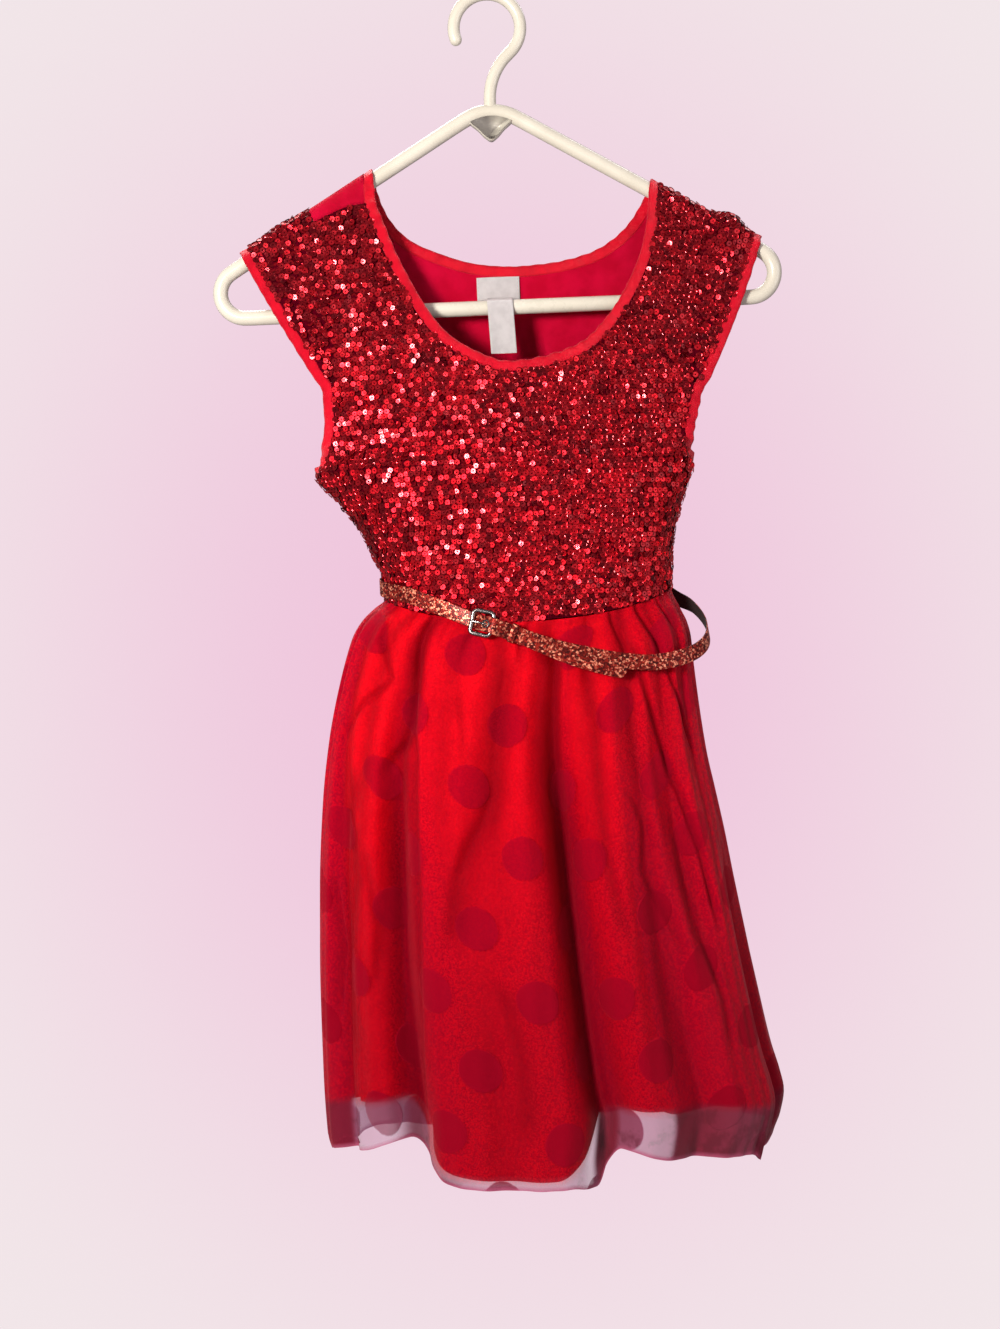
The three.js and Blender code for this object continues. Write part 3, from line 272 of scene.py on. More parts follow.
def curve(points, count, closed=False, ease=0.25):
    """count even places along a Catmull-Rom curve through points, knots set apart by the
    distance squared to the power ease (0 for a plain one)."""
    p = np.asarray(points, float)
    if closed:
        p = np.vstack((p[-1:], p, p[:2]))
    else:
        p = np.vstack((2 * p[:1] - p[1:2], p, 2 * p[-1:] - p[-2:-1]))
    gap = np.sum(np.diff(p, axis=0) ** 2, 1)[:, None] ** ease
    g0, g1, g2 = gap[:-2], gap[1:-1], gap[2:]
    p0, p1, p2, p3 = p[:-3], p[1:-2], p[2:-1], p[3:]
    m1 = ((p1 - p0) / g0 - (p2 - p0) / (g0 + g1) + (p2 - p1) / g1) * g1
    m2 = ((p2 - p1) / g1 - (p3 - p1) / (g1 + g2) + (p3 - p2) / g2) * g1
    t = np.linspace(0, 1, 40, endpoint=False)[:, None, None]
    run = ((2 * t**3 - 3 * t**2 + 1) * p1 + (t**3 - 2 * t**2 + t) * m1
           + (3 * t**2 - 2 * t**3) * p2 + (t**3 - t**2) * m2)
    run = np.vstack((run.transpose(1, 0, 2).reshape(-1, p.shape[1]), p2[-1:]))
    far = lengths(run)
    at = np.linspace(0, far[-1], count, endpoint=not closed)
    return np.stack([np.interp(at, far, run[:, k]) for k in range(p.shape[1])], -1)


def carry(path, across, through, section, scale=1.0):
    """Grid of a section's (across, through) pairs carried along a path."""
    scale = np.broadcast_to(scale, len(path))
    wide, deep = (np.multiply.outer(scale, section[:, k])[..., None] for k in (0, 1))
    return path[:, None] + wide * across[:, None] + deep * through[:, None]


def oval(wide, deep, sides, square=1.0, edge=1.0):
    """Points of an oval with these half sizes: powers of the cosine and sine below 1 square it."""
    a = np.linspace(0, 2 * np.pi, sides, endpoint=False)
    x, y = np.cos(a), np.sin(a)
    return np.stack((wide * np.sign(x) * np.abs(x) ** square, deep * np.sign(y) * np.abs(y) ** edge), -1)


def rod(path, radius, sides, closed=False, scale=1.0):
    """A round bar along a path that lies in the hanger's plane."""
    through = np.broadcast_to([0.0, 1.0, 0.0], path.shape)
    across = unit(np.cross(along(path, closed), through))
    return carry(path, across, through, oval(radius, radius, sides), scale)


APEX_ROUND = 20.0
apex_x = np.linspace(0, APEX_ROUND, 5)
arm_x = np.array([60.0, 110.0, 160.0])
turn = np.linspace(np.pi / 2 - math.atan(SLOPE), -np.pi / 2, 15)
right = np.vstack((
    xyz(apex_x, 0, arm_z(apex_x) - SLOPE * APEX_ROUND / 2 * (1 - apex_x / APEX_ROUND) ** 2),
    xyz(arm_x, 0, arm_z(arm_x)),
    xyz(EYE_X + EYE_R * np.cos(turn), 0, BAR + EYE_R + EYE_R * np.sin(turn)),
    xyz(np.array([150.0, 100.0, 50.0, 0.0]), 0, BAR),
))
loop = np.vstack((right, (right[1:-1] * [-1, 1, 1])[::-1]))
ring_r = HOOK_R + ROD
start = math.radians(-50)
neck_r = ring_r * math.cos(start) / (1 - math.cos(-start))
neck_a = np.linspace(0, -start, 7)
neck_z = -HOOK_R + ring_r * math.sin(start) - neck_r * math.sin(-start)
hook_a = np.linspace(start, math.radians(198), 30)[1:]
hook = np.vstack((
    [[0, 0, APEX - 6]],
    xyz(neck_r * (1 - np.cos(neck_a)), 0, neck_z + neck_r * np.sin(neck_a)),
    xyz(ring_r * np.cos(hook_a), 0, -HOOK_R + ring_r * np.sin(hook_a)),
))
HOOK_ROWS = 120
hook = curve(hook, HOOK_ROWS)
tip = unit(hook[-1:] - hook[-2:-1])
dome = np.linspace(0, np.pi / 2, 9)[1:]
hook = np.vstack((hook, hook[-1:] + tip * ROD * np.sin(dome)[:, None]))
hook_scale = np.concatenate((np.ones(HOOK_ROWS), np.maximum(np.cos(dome), 0.02)))
WEB = [(-17, -87), (-9, -83), (0, -80), (9, -83), (17, -87), (9.5, -94.6), (4.6, -99.8), (0, -102.6),
       (-4.6, -99.8), (-9.5, -94.6)]
web = curve(WEB, 60, True)
web_mid = web.mean(0)
web_y = np.array([-4, -3.7, -2.8, 2.8, 3.7, 4])
web_in = np.array([0.93, 0.98, 1, 1, 0.98, 0.93])
web_x, web_z = (web_mid[k] + np.multiply.outer(web_in, web[:, k] - web_mid[k]) for k in (0, 1))
plate = xyz(web_x, web_y[:, None], web_z)

ivory = Finish("ivory_polystyrene", Roughness=0.28, Coat_Weight=0.35, Coat_Roughness=0.12,
               Specular_IOR_Level=0.55)
cloud = ivory.noise(30, 3)
ivory.link(
    Base_Color=ivory.blend(ivory.step(cloud, 0.3, 0.7), (0.66, 0.63, 0.53), (0.73, 0.70, 0.60)),
    Roughness=ivory.noise(160, 4) * 0.16 + 0.2,
).bump(ivory.noise(420, 3), 0.00006)
build("hanger_tube", [
    (rod(curve(loop, 520, True), TUBE, 28, True), "rc", None),
    (rod(hook, ROD, 24, False, hook_scale), "ck", None),
    (plate, "ck", None),
], ivory, ["hanger"])

# ---------------------------------------------------------------- skirt lining
# The real lining is two panels of red polyester satin, gathered into the waist seam with the
# overlay and turned up by machine; it hangs in the overlay's folds, a little shorter.
GATHERS = 24
WAIST, DROP, BACK_DROP, FOOT = -437.0, 19.5, -6.0, -862.0
LEFT = [
    (-880, -138), (-862, -148), (-850, -153), (-838, -156), (-800, -157), (-738, -156.5), (-654, -153.5),
    (-586, -148), (-541, -141.5), (-518, -136.7), (-496, -131), (-474, -124), (-463, -119.5), (-452, -112),
    (-443, -102), (-437, -94.5), (-419, -95), (-407, -100.5), (-396, -105), (-384, -110.5), (-373, -118),
    (-361, -127), (-350, -137.5), (-346, -140.5), (-335, -133), (-318, -127), (-305, -125), (-283, -125.3),
    (-248, -124.2), (-216, -125.7), (-172, -131.7), (-147, -138.5), (-110, -142),
]
RIGHT = [
    (-880, 172), (-866, 179), (-850, 184), (-838, 189), (-820, 192.5), (-806, 190), (-784, 184), (-738, 175),
    (-700, 168), (-654, 160), (-620, 154.5), (-586, 148), (-563, 143.5), (-541, 140.5), (-518, 138),
    (-496, 136), (-474, 134.5), (-463, 132), (-452, 127), (-437, 121), (-417, 121.8), (-405, 123),
    (-394, 124.8), (-383, 127.5), (-372, 131), (-361, 134.8), (-346, 139.5), (-336, 135), (-322, 134),
    (-310, 136.5), (-291, 140.5), (-260, 142.5), (-225, 147.5), (-190, 155), (-157, 162.5), (-120, 166),
]
FRONT = [
    (-880, 89), (-800, 86), (-700, 80), (-600, 72), (-540, 67), (-500, 62), (-475, 57), (-456, 52.5),
    (-437, 50), (-380, 46), (-330, 40), (-280, 31), (-240, 24), (-200, 17.5), (-170, 12.5), (-140, 8.5),
]
BACK = [
    (-880, 98), (-800, 95), (-700, 88), (-600, 78), (-540, 72), (-500, 67), (-475, 62), (-456, 58),
    (-437, 55), (-380, 50), (-330, 43), (-280, 33), (-224, 21), (-190, 16), (-140, 9),
]
# large folds: degrees round the skirt at waist and at hem, depth, half width, and the fall between
FOLDS = [
    (49, 52.5, 27, 5.5, 0.03, 2), (103, 103, 31, 6, 0.02, 2), (87, 62, 9, 5, 0.04, 0.62),
    (26, 24, 15, 6, 0.12, 2), (131, 152, 13, 6, 0.06, 0.75), (124, 130, 16, 7, 0.25, 2),
    (75, 78, 8, 6, 0.4, 2), (166, 168, 12, 5, 0.3, 2), (201, 199, 18, 6, 0.1, 2),
    (226, 230, 26, 7, 0.05, 2), (263, 258, 24, 6, 0.04, 2), (290, 293, 28, 7, 0.08, 2),
    (318, 321, 20, 6, 0.05, 2), (343, 345, 14, 5, 0.2, 2),
]
# creases: the path as (fall, degrees) pairs, depth, and half widths to the left and the right
CREASES = [
    ([(0.01, 99), (0.08, 102.5), (0.26, 103), (0.5, 102.5), (0.86, 101.5), (1.01, 104)], 10, 3.4, 0.9),
    ([(0.05, 85), (0.2, 84.9), (0.3, 83.2), (0.35, 79.4), (0.39, 75.1), (0.45, 71), (0.6, 67)],
     4.5, 2.0, 4.4),
    ([(0.0, 49), (0.24, 59), (0.49, 59.5), (0.7, 57.5), (0.91, 54), (1.01, 53)], 5, 3.0, 0.9),
    ([(0.0, 27), (0.05, 31.5), (0.095, 40), (0.111, 43), (0.128, 40), (0.15, 34), (0.19, 26), (0.25, 18)],
     4.5, 1.4, 2.8),
    ([(-0.02, 34), (0.045, 45)], 3.5, 1.0, 1.8),
    ([(-0.03, 45), (0.034, 51.7), (0.12, 55), (0.175, 55.1), (0.22, 53), (0.245, 49), (0.3, 43)],
     6, 1.6, 2.4),
    ([(-0.03, 56), (0.06, 60.5)], 3, 0.9, 1.5), ([(0.1, 69.5), (0.19, 73), (0.27, 74.5)], 2.5, 1.2, 1.6),
    ([(-0.03, 71), (0.09, 69)], 3, 1.4, 1.0), ([(-0.03, 90), (0.11, 88.5)], 3.5, 1.0, 1.6),
    ([(0.04, 111), (0.2, 116), (0.42, 113), (0.6, 117)], 3, 2.6, 1.6),
    ([(-0.03, 112), (0.05, 114)], 3, 1.0, 1.4), ([(-0.03, 122), (0.08, 128), (0.14, 133)], 4, 1.6, 1.0),
    ([(0.05, 131), (0.13, 134.5), (0.23, 140), (0.335, 145), (0.44, 149), (0.6, 152)], 6, 2.0, 1.1),
    ([(-0.03, 134), (0.06, 142), (0.16, 151), (0.3, 160)], 5, 1.6, 1.1),
    ([(-0.03, 148), (0.09, 160)], 3, 1.2, 1.2),
    ([(0.3, 122), (0.38, 127), (0.46, 124), (0.55, 131), (0.66, 136)], 2.5, 1.4, 2.4),
    ([(0.55, 141), (0.7, 146), (0.82, 144)], 3, 2.2, 1.4),
    ([(0.62, 80), (0.78, 84), (0.95, 82)], 3.5, 2.0, 3.0),
    ([(0.26, 34), (0.36, 30), (0.47, 35), (0.6, 31), (0.8, 33)], 4, 5.0, 3.0),
    ([(0.45, 18), (0.6, 22), (0.75, 19)], 4, 2.4, 1.6), ([(0.4, 38), (0.55, 44), (0.68, 42)], 3.5, 1.4, 2.6),
    ([(-0.02, 192), (0.1, 196), (0.3, 194)], 5, 1.8, 1.2),
    ([(-0.02, 214), (0.12, 219), (0.4, 215)], 6, 1.4, 2.4),
    ([(-0.02, 238), (0.07, 240)], 4, 1.2, 1.4), ([(0.05, 250), (0.3, 246), (0.7, 251)], 6, 2.6, 1.1),
    ([(-0.02, 268), (0.16, 272), (0.34, 268)], 4, 1.4, 1.8), ([(-0.02, 281), (0.06, 279)], 3.5, 1.2, 1.2),
    ([(0.03, 300), (0.3, 305), (0.6, 301), (0.9, 303)], 7, 1.2, 3.0),
    ([(-0.02, 318), (0.14, 313)], 4, 1.6, 1.2),
    ([(-0.02, 333), (0.2, 336), (0.45, 331)], 5, 1.4, 2.0), ([(-0.02, 349), (0.08, 347)], 3, 1.2, 1.2),
]
LINING_HEM = [
    (0, -812), (20, -808), (40, -803), (49, -801), (57, -845), (66, -854), (78, -858), (90, -857), (97, -846),
    (104, -812), (120, -813), (140, -818), (160, -823), (180, -815), (215, -812), (250, -820), (285, -814),
    (320, -820), (345, -815), (360, -812),
]


def table(rows, at):
    """A table's second column at values of its first: cubic between rows, with each row's slope
    the harmonic mean of the two runs beside it, or level where the rows turn."""
    key, value = np.asarray(rows, float).T
    at = np.clip(at, key[0], key[-1])
    i = np.clip(np.searchsorted(key, at) - 1, 0, len(key) - 2)
    run = np.diff(value) / np.diff(key)
    a, b = run[:-1], run[1:]
    inner = np.where(a * b > 0, 2 * a * b / np.where(a * b > 0, a + b, 1), 0)
    slope = np.concatenate((run[:1], inner, run[-1:]))
    h = key[i + 1] - key[i]
    t = (at - key[i]) / h
    return ((1 + 2 * t) * (1 - t) ** 2 * value[i] + t * (1 - t) ** 2 * h * slope[i]
            + t * t * (3 - 2 * t) * value[i + 1] + t * t * (t - 1) * h * slope[i + 1])


def waist_z(phi):
    """Height of the waist seam: it dips by the sine to the power 1.5 in front, and rises behind."""
    s = np.sin(phi)
    return WAIST - np.where(s > 0, DROP, BACK_DROP) * np.abs(s) ** 1.5


def table_z(phi, z):
    """Height to read the tables at, moved near the waist so that they follow the dipped seam."""
    near = smooth((-385 - z) / 45) * (1 - smooth((-472 - z) / 120))
    return z - (waist_z(phi) - WAIST) * near


def outline(phi, z):
    """x round the dress: from the left outline at 0 to the right one at pi, by the cosine."""
    at = table_z(phi, z)
    return mix(table(LEFT, at), table(RIGHT, at), (1 - np.cos(phi)) / 2)


def depth_at(phi, z):
    """Distance of the middle front (sine over 0) or middle back from the hanger's plane."""
    at = table_z(phi, z)
    return np.where(np.sin(phi) > 0, table(FRONT, at), table(BACK, at))


def body(phi, z):
    """Outside of the dress: an ellipse at each height, half of the front's depth, half the back's."""
    return xyz(outline(phi, z), -depth_at(phi, z) * np.sin(phi), z)


def outward(phi, z):
    """Level direction out of that ellipse."""
    at = table_z(phi, z)
    half = (table(RIGHT, at) - table(LEFT, at)) / 2
    return unit(xyz(-depth_at(phi, z) * np.cos(phi), -half * np.sin(phi), 0))


def skirt(hem, near, far, share, phi, f, crease=0.0):
    """A skirt layer at angle phi and share f of its drop: the body moved inward by near to far, by
    the gathers (a cosine that fades down), by each fold (a bell across, growing with the fall) and
    by each crease (an uneven bell along its path). Also how deep in those each point lies, 0 to 1,
    which the cloth finishes paint as shade."""
    deg = np.degrees(phi)
    top = waist_z(phi)
    z = mix(top, table(hem, deg), f)
    fall = (top - z) / (top - FOOT)
    inward = near + (far - near) * smooth(fall * 1.2)
    fade = 1 - smooth((fall - 0.15) / 0.5)
    uneven = 0.75 + 0.25 * np.sin(deg * 0.21) * np.sin(deg * 0.057 + 1)
    dip = (1 - np.cos(GATHERS * phi)) / 2
    gather = mix(2.2, 5.2, smooth(fall / 0.12))
    inward = inward + gather * fade * uneven * dip
    open_ = 1 - 0.6 * fade * uneven * dip**2
    for high, low, depth, wide, begin, end in FOLDS:
        middle = mix(high, low, fall)
        grow = smooth((fall - begin) / 0.45) * (1 - smooth((fall - end + 0.25) / 0.25))
        bell = np.exp(-(((deg - middle) / wide) ** 2))
        inward = inward + share * depth * grow * bell
        open_ = open_ * (1 - min(depth / 32, 0.8) * grow * bell**2)
    for way, depth, left, right in CREASES:
        falls, degs = np.array(way).T
        aside = deg - np.interp(fall, falls, degs)
        bell = np.exp(-((aside / np.where(aside < 0, left, right)) ** 2))
        bell = bell * smooth((fall - falls[0]) / 0.05) * (1 - smooth((fall - falls[-1] + 0.07) / 0.07))
        inward = inward + share * depth * 0.8 * bell
        open_ = open_ * (1 - min(0.2 + depth / 14, 0.85) * bell)
    ripple = 1 + np.sin(phi * 61 + 9 * fall + 1.3 * np.sin(phi * 7))
    inward = inward + crease * ripple * smooth(fall / 0.1)
    return body(phi, z) - inward[..., None] * outward(phi, z), 1 - open_


def cloth_uv(grid):
    """u and v of a cloth grid in millimetres: lengths along its rows from the middle column, and
    down its columns."""
    across = np.linalg.norm(np.diff(grid, axis=1), axis=2)
    down = np.linalg.norm(np.diff(grid, axis=0), axis=2)
    u = np.hstack((np.zeros((len(grid), 1)), np.cumsum(across, 1)))
    v = np.vstack((np.zeros((1, grid.shape[1])), np.cumsum(down, 0)))
    return np.stack((u - u[:, [grid.shape[1] // 2]], v), -1)


def columns(begin, count):
    """Degrees round half a turn from begin, kept just inside both side seams."""
    return begin + np.linspace(0.02, 179.98, count)[None]


def skirt_grid(layer, begin, rows, cols, crease=0.0):
    """Half a skirt layer and its depths, from angle begin round half a turn, closer rows near the
    waist."""
    f = np.linspace(0, 1, rows)[:, None] ** 1.25
    return skirt(*layer, *np.broadcast_arrays(np.radians(columns(begin, cols)), f), crease)


def low_down(z):
    """0 from the hip up and 1 at the hem, where painted shade makes the skirt a little darker."""
    return smooth((-520 - z) / 260)


GLOSS = (1.0, 0.06, 0.09, 1.0)
satin_red = Finish("lining_satin_red", Roughness=0.36, Sheen_Weight=0.2, Sheen_Roughness=0.4, Sheen_Tint=GLOSS,
                   Specular_IOR_Level=0.6, Specular_Tint=GLOSS, Anisotropic=0.35)
u, v = satin_red.uv()
warp = (u * 9.0).sine() * 0.25 + (v * 16.0).sine() * 0.12
slub = satin_red.noise(55, 4)
grain = satin_red.noise(560, 4, 0.85)
# lit: lighter specks where slub and grain are high, partly real slub and partly painted sheen glints
lit = satin_red.step(slub * 0.3 + grain * 0.9, 0.5, 0.72)
plain = satin_red.blend(lit, (0.62, 0.0, 0.002), (0.98, 0.002, 0.008))
# painted shade: the deep mark darkens the fold and crease depths and the lower skirt, and shade adds broad
# dark noise patches
shade = satin_red.step(satin_red.noise(7.5, 2), 0.5, 0.72) * 0.6
dark = satin_red.maths("MAXIMUM", satin_red.mark("deep") * 0.9, shade)
satin_red.link(
    Base_Color=satin_red.blend(dark, plain, (0.16, 0.0, 0.001)),
    Roughness=slub * 0.16 + 0.28,
).bump(warp * 0.18 + satin_red.noise(38, 3) * 1.2 + grain * 0.25, 0.0009)
LINING = (LINING_HEM, 2.6, 5.5, 1.0)
LOW_SHADE = 0.45
for side, begin in (("front", 0), ("back", 180)):
    grid, fold_and_hem_shade = skirt_grid(LINING, begin, 120, 280)
    # painted shade: darker towards the hem
    fold_and_hem_shade = mix(fold_and_hem_shade, 1, LOW_SHADE * low_down(grid[..., 2]))
    panel = build(f"skirt_lining_{side}_satin", [(grid, "", cloth_uv(grid))], satin_red,
                  [f"skirt_lining_{side}"], 0.5, {"deep": fold_and_hem_shade})

# ---------------------------------------------------------------- skirt overlay
# The real overlay is two panels of sheer red organza with round flocked dots of the same red,
# gathered tight at the waist, with a narrow rolled hem; it shows clear below the lining.
ORGANZA_HEM = [
    (0, -851), (15, -845), (35, -839), (49, -830), (56, -853), (65, -860), (78, -863), (93, -862), (101, -868),
    (107, -840), (118, -847), (135, -853), (150, -856), (163, -866), (172, -861), (180, -851), (200, -845),
    (228, -853), (250, -859), (268, -848), (285, -857), (305, -861), (322, -849), (340, -856),
    (360, -851),
]
ORGANZA = (ORGANZA_HEM, 0.55, 0.55, 0.85)
DOT, DOT_ACROSS, DOT_DOWN = 16.0, 84.0, 50.0

sheer = Finish("organza_with_flocked_dots", Roughness=0.42, Sheen_Weight=0.25, Sheen_Roughness=0.35,
               Sheen_Tint=GLOSS, Specular_Tint=GLOSS)
u, v = sheer.uv()
row = sheer.maths("FLOOR", v / DOT_DOWN)
shift = sheer.maths("FRACT", row * 0.5 + 0.02) * DOT_ACROSS + (row * 2.4).sine() * 5.0
cell_u = sheer.maths("FLOOR", (u + shift) / DOT_ACROSS)
du = u + shift - (cell_u + 0.5) * DOT_ACROSS + (cell_u * 3.1 + row * 1.7).sine() * 4.0
dv = v - (row + 0.5) * DOT_DOWN + sheer.maths("COSINE", cell_u * 2.3 + row * 4.1) * 3.0
far = sheer.maths("SQRT", du * du + dv * dv) + sheer.noise(900, 2) * 1.0
dot = 1.0 - sheer.step(far, DOT - 0.6, DOT + 0.9)
threads = (u * 12.0).sine() * (v * 12.0).sine()
grain = sheer.noise(2600, 1)
layers, clear, deep, hemline = map(sheer.mark, ("layers", "clear", "deep", "hemline"))
sparkle = sheer.step(sheer.noise(560, 4, 0.85), 0.42, 0.58)
plain = sheer.blend(layers * 0.5 + sparkle * 0.6, (1.0, 0.002, 0.014), (0.36, 0.0, 0.018))
height = sheer.node("SeparateXYZ", {}, {0: sheer.place()}, 2)
low = sheer.step(0.0 - height, 0.55, 0.8)
plain = sheer.blend(dot * (low * 0.25 + 0.68), plain, (0.34, 0.0, 0.014))
# painted shade: darker in the fold and crease depths and towards the hem
plain = sheer.blend(deep * 0.85, plain, (0.12, 0.0, 0.006))
pinch = sheer.noise(46, 4, 0.65)
# bare: organza below the lining; its pale lavender for single layers is partly painted sheen
bare = sheer.blend(sheer.maths("MAXIMUM", layers, dot * 0.7), (0.40, 0.18, 0.32), (0.16, 0.006, 0.022))
bare = sheer.blend(sheer.step(pinch, 0.5, 0.62) * 0.5, bare, (0.06, 0.004, 0.01))
woven = sheer.blend(clear, plain, bare)
cover = dot * 0.36 + grain * 0.1 + layers * 0.64 + clear * 0.08 + hemline * 0.35 + 0.3
sheer.link(
    Base_Color=sheer.blend(hemline * 0.7, woven, (0.50, 0.10, 0.20)),
    Alpha=sheer.maths("MINIMUM", cover, 0.985),
    Roughness=dot * 0.3 + 0.38,
).bump(threads * 0.2 + dot * 1.2 + sheer.noise(60, 3), 0.0004)
# where the organza lies double: degrees round the skirt and how far
LAYERS = [
    (0, 1), (21, 0.97), (26, 0.12), (45, 0.05), (50, 0.8), (60, 0.6), (74, 0.2), (90, 0.25), (96, 0.3),
    (99, 0.0), (101.5, 0.9), (105, 1), (108, 0.35), (118, 0.45), (121, 1), (150, 0.9), (166, 1), (196, 1),
    (206, 0.3), (226, 0.9), (240, 0.3), (262, 0.8), (292, 0.9), (306, 0.2), (318, 0.8), (334, 0.3),
    (344, 1), (360, 1),
]
for side, begin in (("front", 0), ("back", 180)):
    grid, fold_and_hem_shade = skirt_grid(ORGANZA, begin, 140, 320, 0.35)
    deg, z = columns(begin, grid.shape[1]), grid[..., 2]
    below = smooth((table(LINING_HEM, deg) + 4 - z) / 8)
    fade = smooth((-480 - z) / 220)
    lower = low_down(z)
    side_on = np.abs(np.cos(np.radians(deg))) ** 6
    double = table(LAYERS, deg) * mix(mix(0.25, 0.9, side_on), 1.0, np.maximum(fade, below))
    # layers is the organza lying double, plus painted shade towards the hem; deep is painted shade in folds
    # and towards the hem
    marks = {
        "layers": mix(double, 1, 0.3 * lower * (1 - below)),
        "clear": below,
        "deep": mix(fold_and_hem_shade, 1, LOW_SHADE * lower),
        "hemline": 1 - smooth((z - table(ORGANZA_HEM, deg) - 0.8) / 2.4),
    }
    panel = build(f"skirt_overlay_{side}_organza", [(grid, "", cloth_uv(grid))], sheer,
                  [f"skirt_overlay_{side}"], marks=marks)

# ---------------------------------------------------------------- bodice back
# The real back is one panel of plain crimson jersey with a high scooped neck; it hangs from the
# hanger's tube, and at the left shoulder it has rolled forward over it.
SHOULDER = TUBE + 1.9
LIFT = math.hypot(1, SLOPE)
UNDERARM = -346.0
BIND = 8.5
ARM_EDGE = [(-1, 0), (0, 0), (5, 6.5), (14, 11.5), (32, 15), (62, 15.5), (120, 12), (190, 9)]
NECK_BACK = [
    (-88, -92.5), (-87, -118), (-83.7, -138), (-75.3, -156), (-60.7, -170.2), (-38.3, -180.2),
    (-15.7, -187.2), (7, -190), (28, -189.5), (48.7, -187.8), (71.9, -181.8), (87.6, -173.3),
    (98.7, -163.2), (107, -151.5),
    (112, -142), (114.4, -130.5),
]
SEAM_LEFT = [(-142, 3), (-111, 8), (-94, 15)]


def hang(side, phi, rise):
    """A bodice panel (side -1 front, 1 back) at angle phi and height rise: an oval below the
    underarm, a flatter bow between armhole edges above it, brought in to the tube's own distance
    over the last 30 mm, and past the tube's axis an arc of SHOULDER radius over it."""
    quarter = math.pi * SHOULDER / 2
    turn = phi if side < 0 else -phi
    ridge = arm_z(outline(turn, rise)) + quarter
    x = outline(turn, np.minimum(rise, 2 * ridge - rise))
    below = arm_z(x) - rise
    edge = table(ARM_EDGE, rise - UNDERARM)
    middle = table(FRONT if side < 0 else BACK, table_z(turn, rise))
    s = np.sin(phi)
    depth = edge + (np.maximum(middle, edge) - edge) * mix(s, s * s, smooth((rise - UNDERARM) / 24))
    depth = depth - 0.8 * smooth((-395 - rise) / 50) * (1 + np.cos(phi * GATHERS)) * s
    wave = np.sin(x / 8.2 + rise / 160) if side > 0 else np.sin(x / 19 - rise / 45)
    depth = depth + 0.8 * (wave - 1) * s * s * smooth((below - 20) / 60)
    depth = SHOULDER + (depth - SHOULDER) * smooth(below / 30)
    within = (1.0 if side < 0 else 0.8) * (1 - smooth((rise - UNDERARM + 60) / 60))
    low = xyz(x, side * depth, rise) - within[..., None] * outward(turn, rise)
    k = quarter + below
    over = xyz(x, side * SHOULDER * np.sin(k / SHOULDER), arm_z(x) + SHOULDER * LIFT * np.cos(k / SHOULDER))
    past = xyz(x, -side * SHOULDER, arm_z(x) + k + quarter)
    return np.where((below < 0)[..., None], np.where((k < -quarter)[..., None], past, over), low)


def angle_at(x, z):
    """Angle at which the outline is at x, found by halving the range 40 times."""
    low, high = np.zeros(np.shape(x)), np.full(np.shape(x), np.pi)
    for _ in range(40):
        phi = (low + high) / 2
        less = outline(phi, z) < x
        low, high = np.where(less, phi, low), np.where(less, high, phi)
    return (low + high) / 2


def top_edge(side, neck, left_seam, right_seam, count=150, shoulder=14):
    """Angle and height of a panel's upper edge: along the left shoulder seam, the neckline moved
    out by its binding, and the right seam. Returns phi, rise and which columns are neck."""
    line = curve(neck, count, ease=0)
    run = along(line)
    line = line + np.stack((run[:, 1], -run[:, 0]), -1) * (BIND + 0.3)
    line[0, 1], line[-1, 1] = left_seam(line[0, 0]), right_seam(line[-1, 0])
    ends = []
    for rows, seam, x in ((LEFT, left_seam, -138.0), (RIGHT, right_seam, 162.0)):
        for _ in range(12):
            x = table(rows, seam(np.float64(x)))
        ends.append(float(x))
    share = np.linspace(0, 1, shoulder, endpoint=False) ** 1.3
    x = np.concatenate((
        mix(ends[0], line[0, 0], share), line[:, 0], mix(ends[1], line[-1, 0], share)[::-1]))
    rise = np.concatenate((left_seam(x[:shoulder]), line[:, 1], right_seam(x[-shoulder:])))
    phi = angle_at(x, rise)
    phi[0], phi[-1] = 0, np.pi
    least = 0.0005 * np.arange(len(phi))
    phi = np.maximum.accumulate(phi - least) + least
    for _ in range(8):
        at = hang(side, phi, rise)[:, 0]
        rise[:shoulder + 1] = left_seam(at[:shoulder + 1])
        rise[-shoulder - 1:] = right_seam(at[-shoulder - 1:])
    return phi, rise, slice(shoulder, shoulder + count)


def panel_grid(side, phi, rise, low=16, middle=44, over=12):
    """Rows of a bodice panel from the waist seam to its upper edge, closer near the underarm and
    over the tube."""
    foot = waist_z(phi if side < 0 else -phi) + 0.8
    axis = arm_z(hang(side, phi, rise - 3)[:, 0])
    axis = np.where(rise - axis > 2, axis, rise - 0.12 * (rise - UNDERARM))
    steps = [mix(foot, UNDERARM, f) for f in np.linspace(0, 1, low, endpoint=False)]
    steps += [mix(UNDERARM, axis, f) for f in np.linspace(0.003, 1, middle, endpoint=False) ** 1.15]
    steps += [mix(axis, rise, f) for f in np.linspace(0, 1, over)]
    return hang(side, *np.broadcast_arrays(phi[None], np.stack(steps)))


def left_below(x):
    """Left shoulder seam on the front panel: its table's distance below the tube's axis."""
    return arm_z(x) - table(SEAM_LEFT, x)


def right_below(x):
    """Right shoulder seam: 8 mm above the tube's axis."""
    return arm_z(x) + 8.0


def left_over(x):
    """Where the back panel ends in front of the tube at the left shoulder."""
    return arm_z(x) + table(SEAM_LEFT, x) + math.pi * SHOULDER - 0.3


def right_over(x):
    """Where the back panel ends at the right shoulder."""
    return arm_z(x) - 8.0 + math.pi * SHOULDER - 0.3


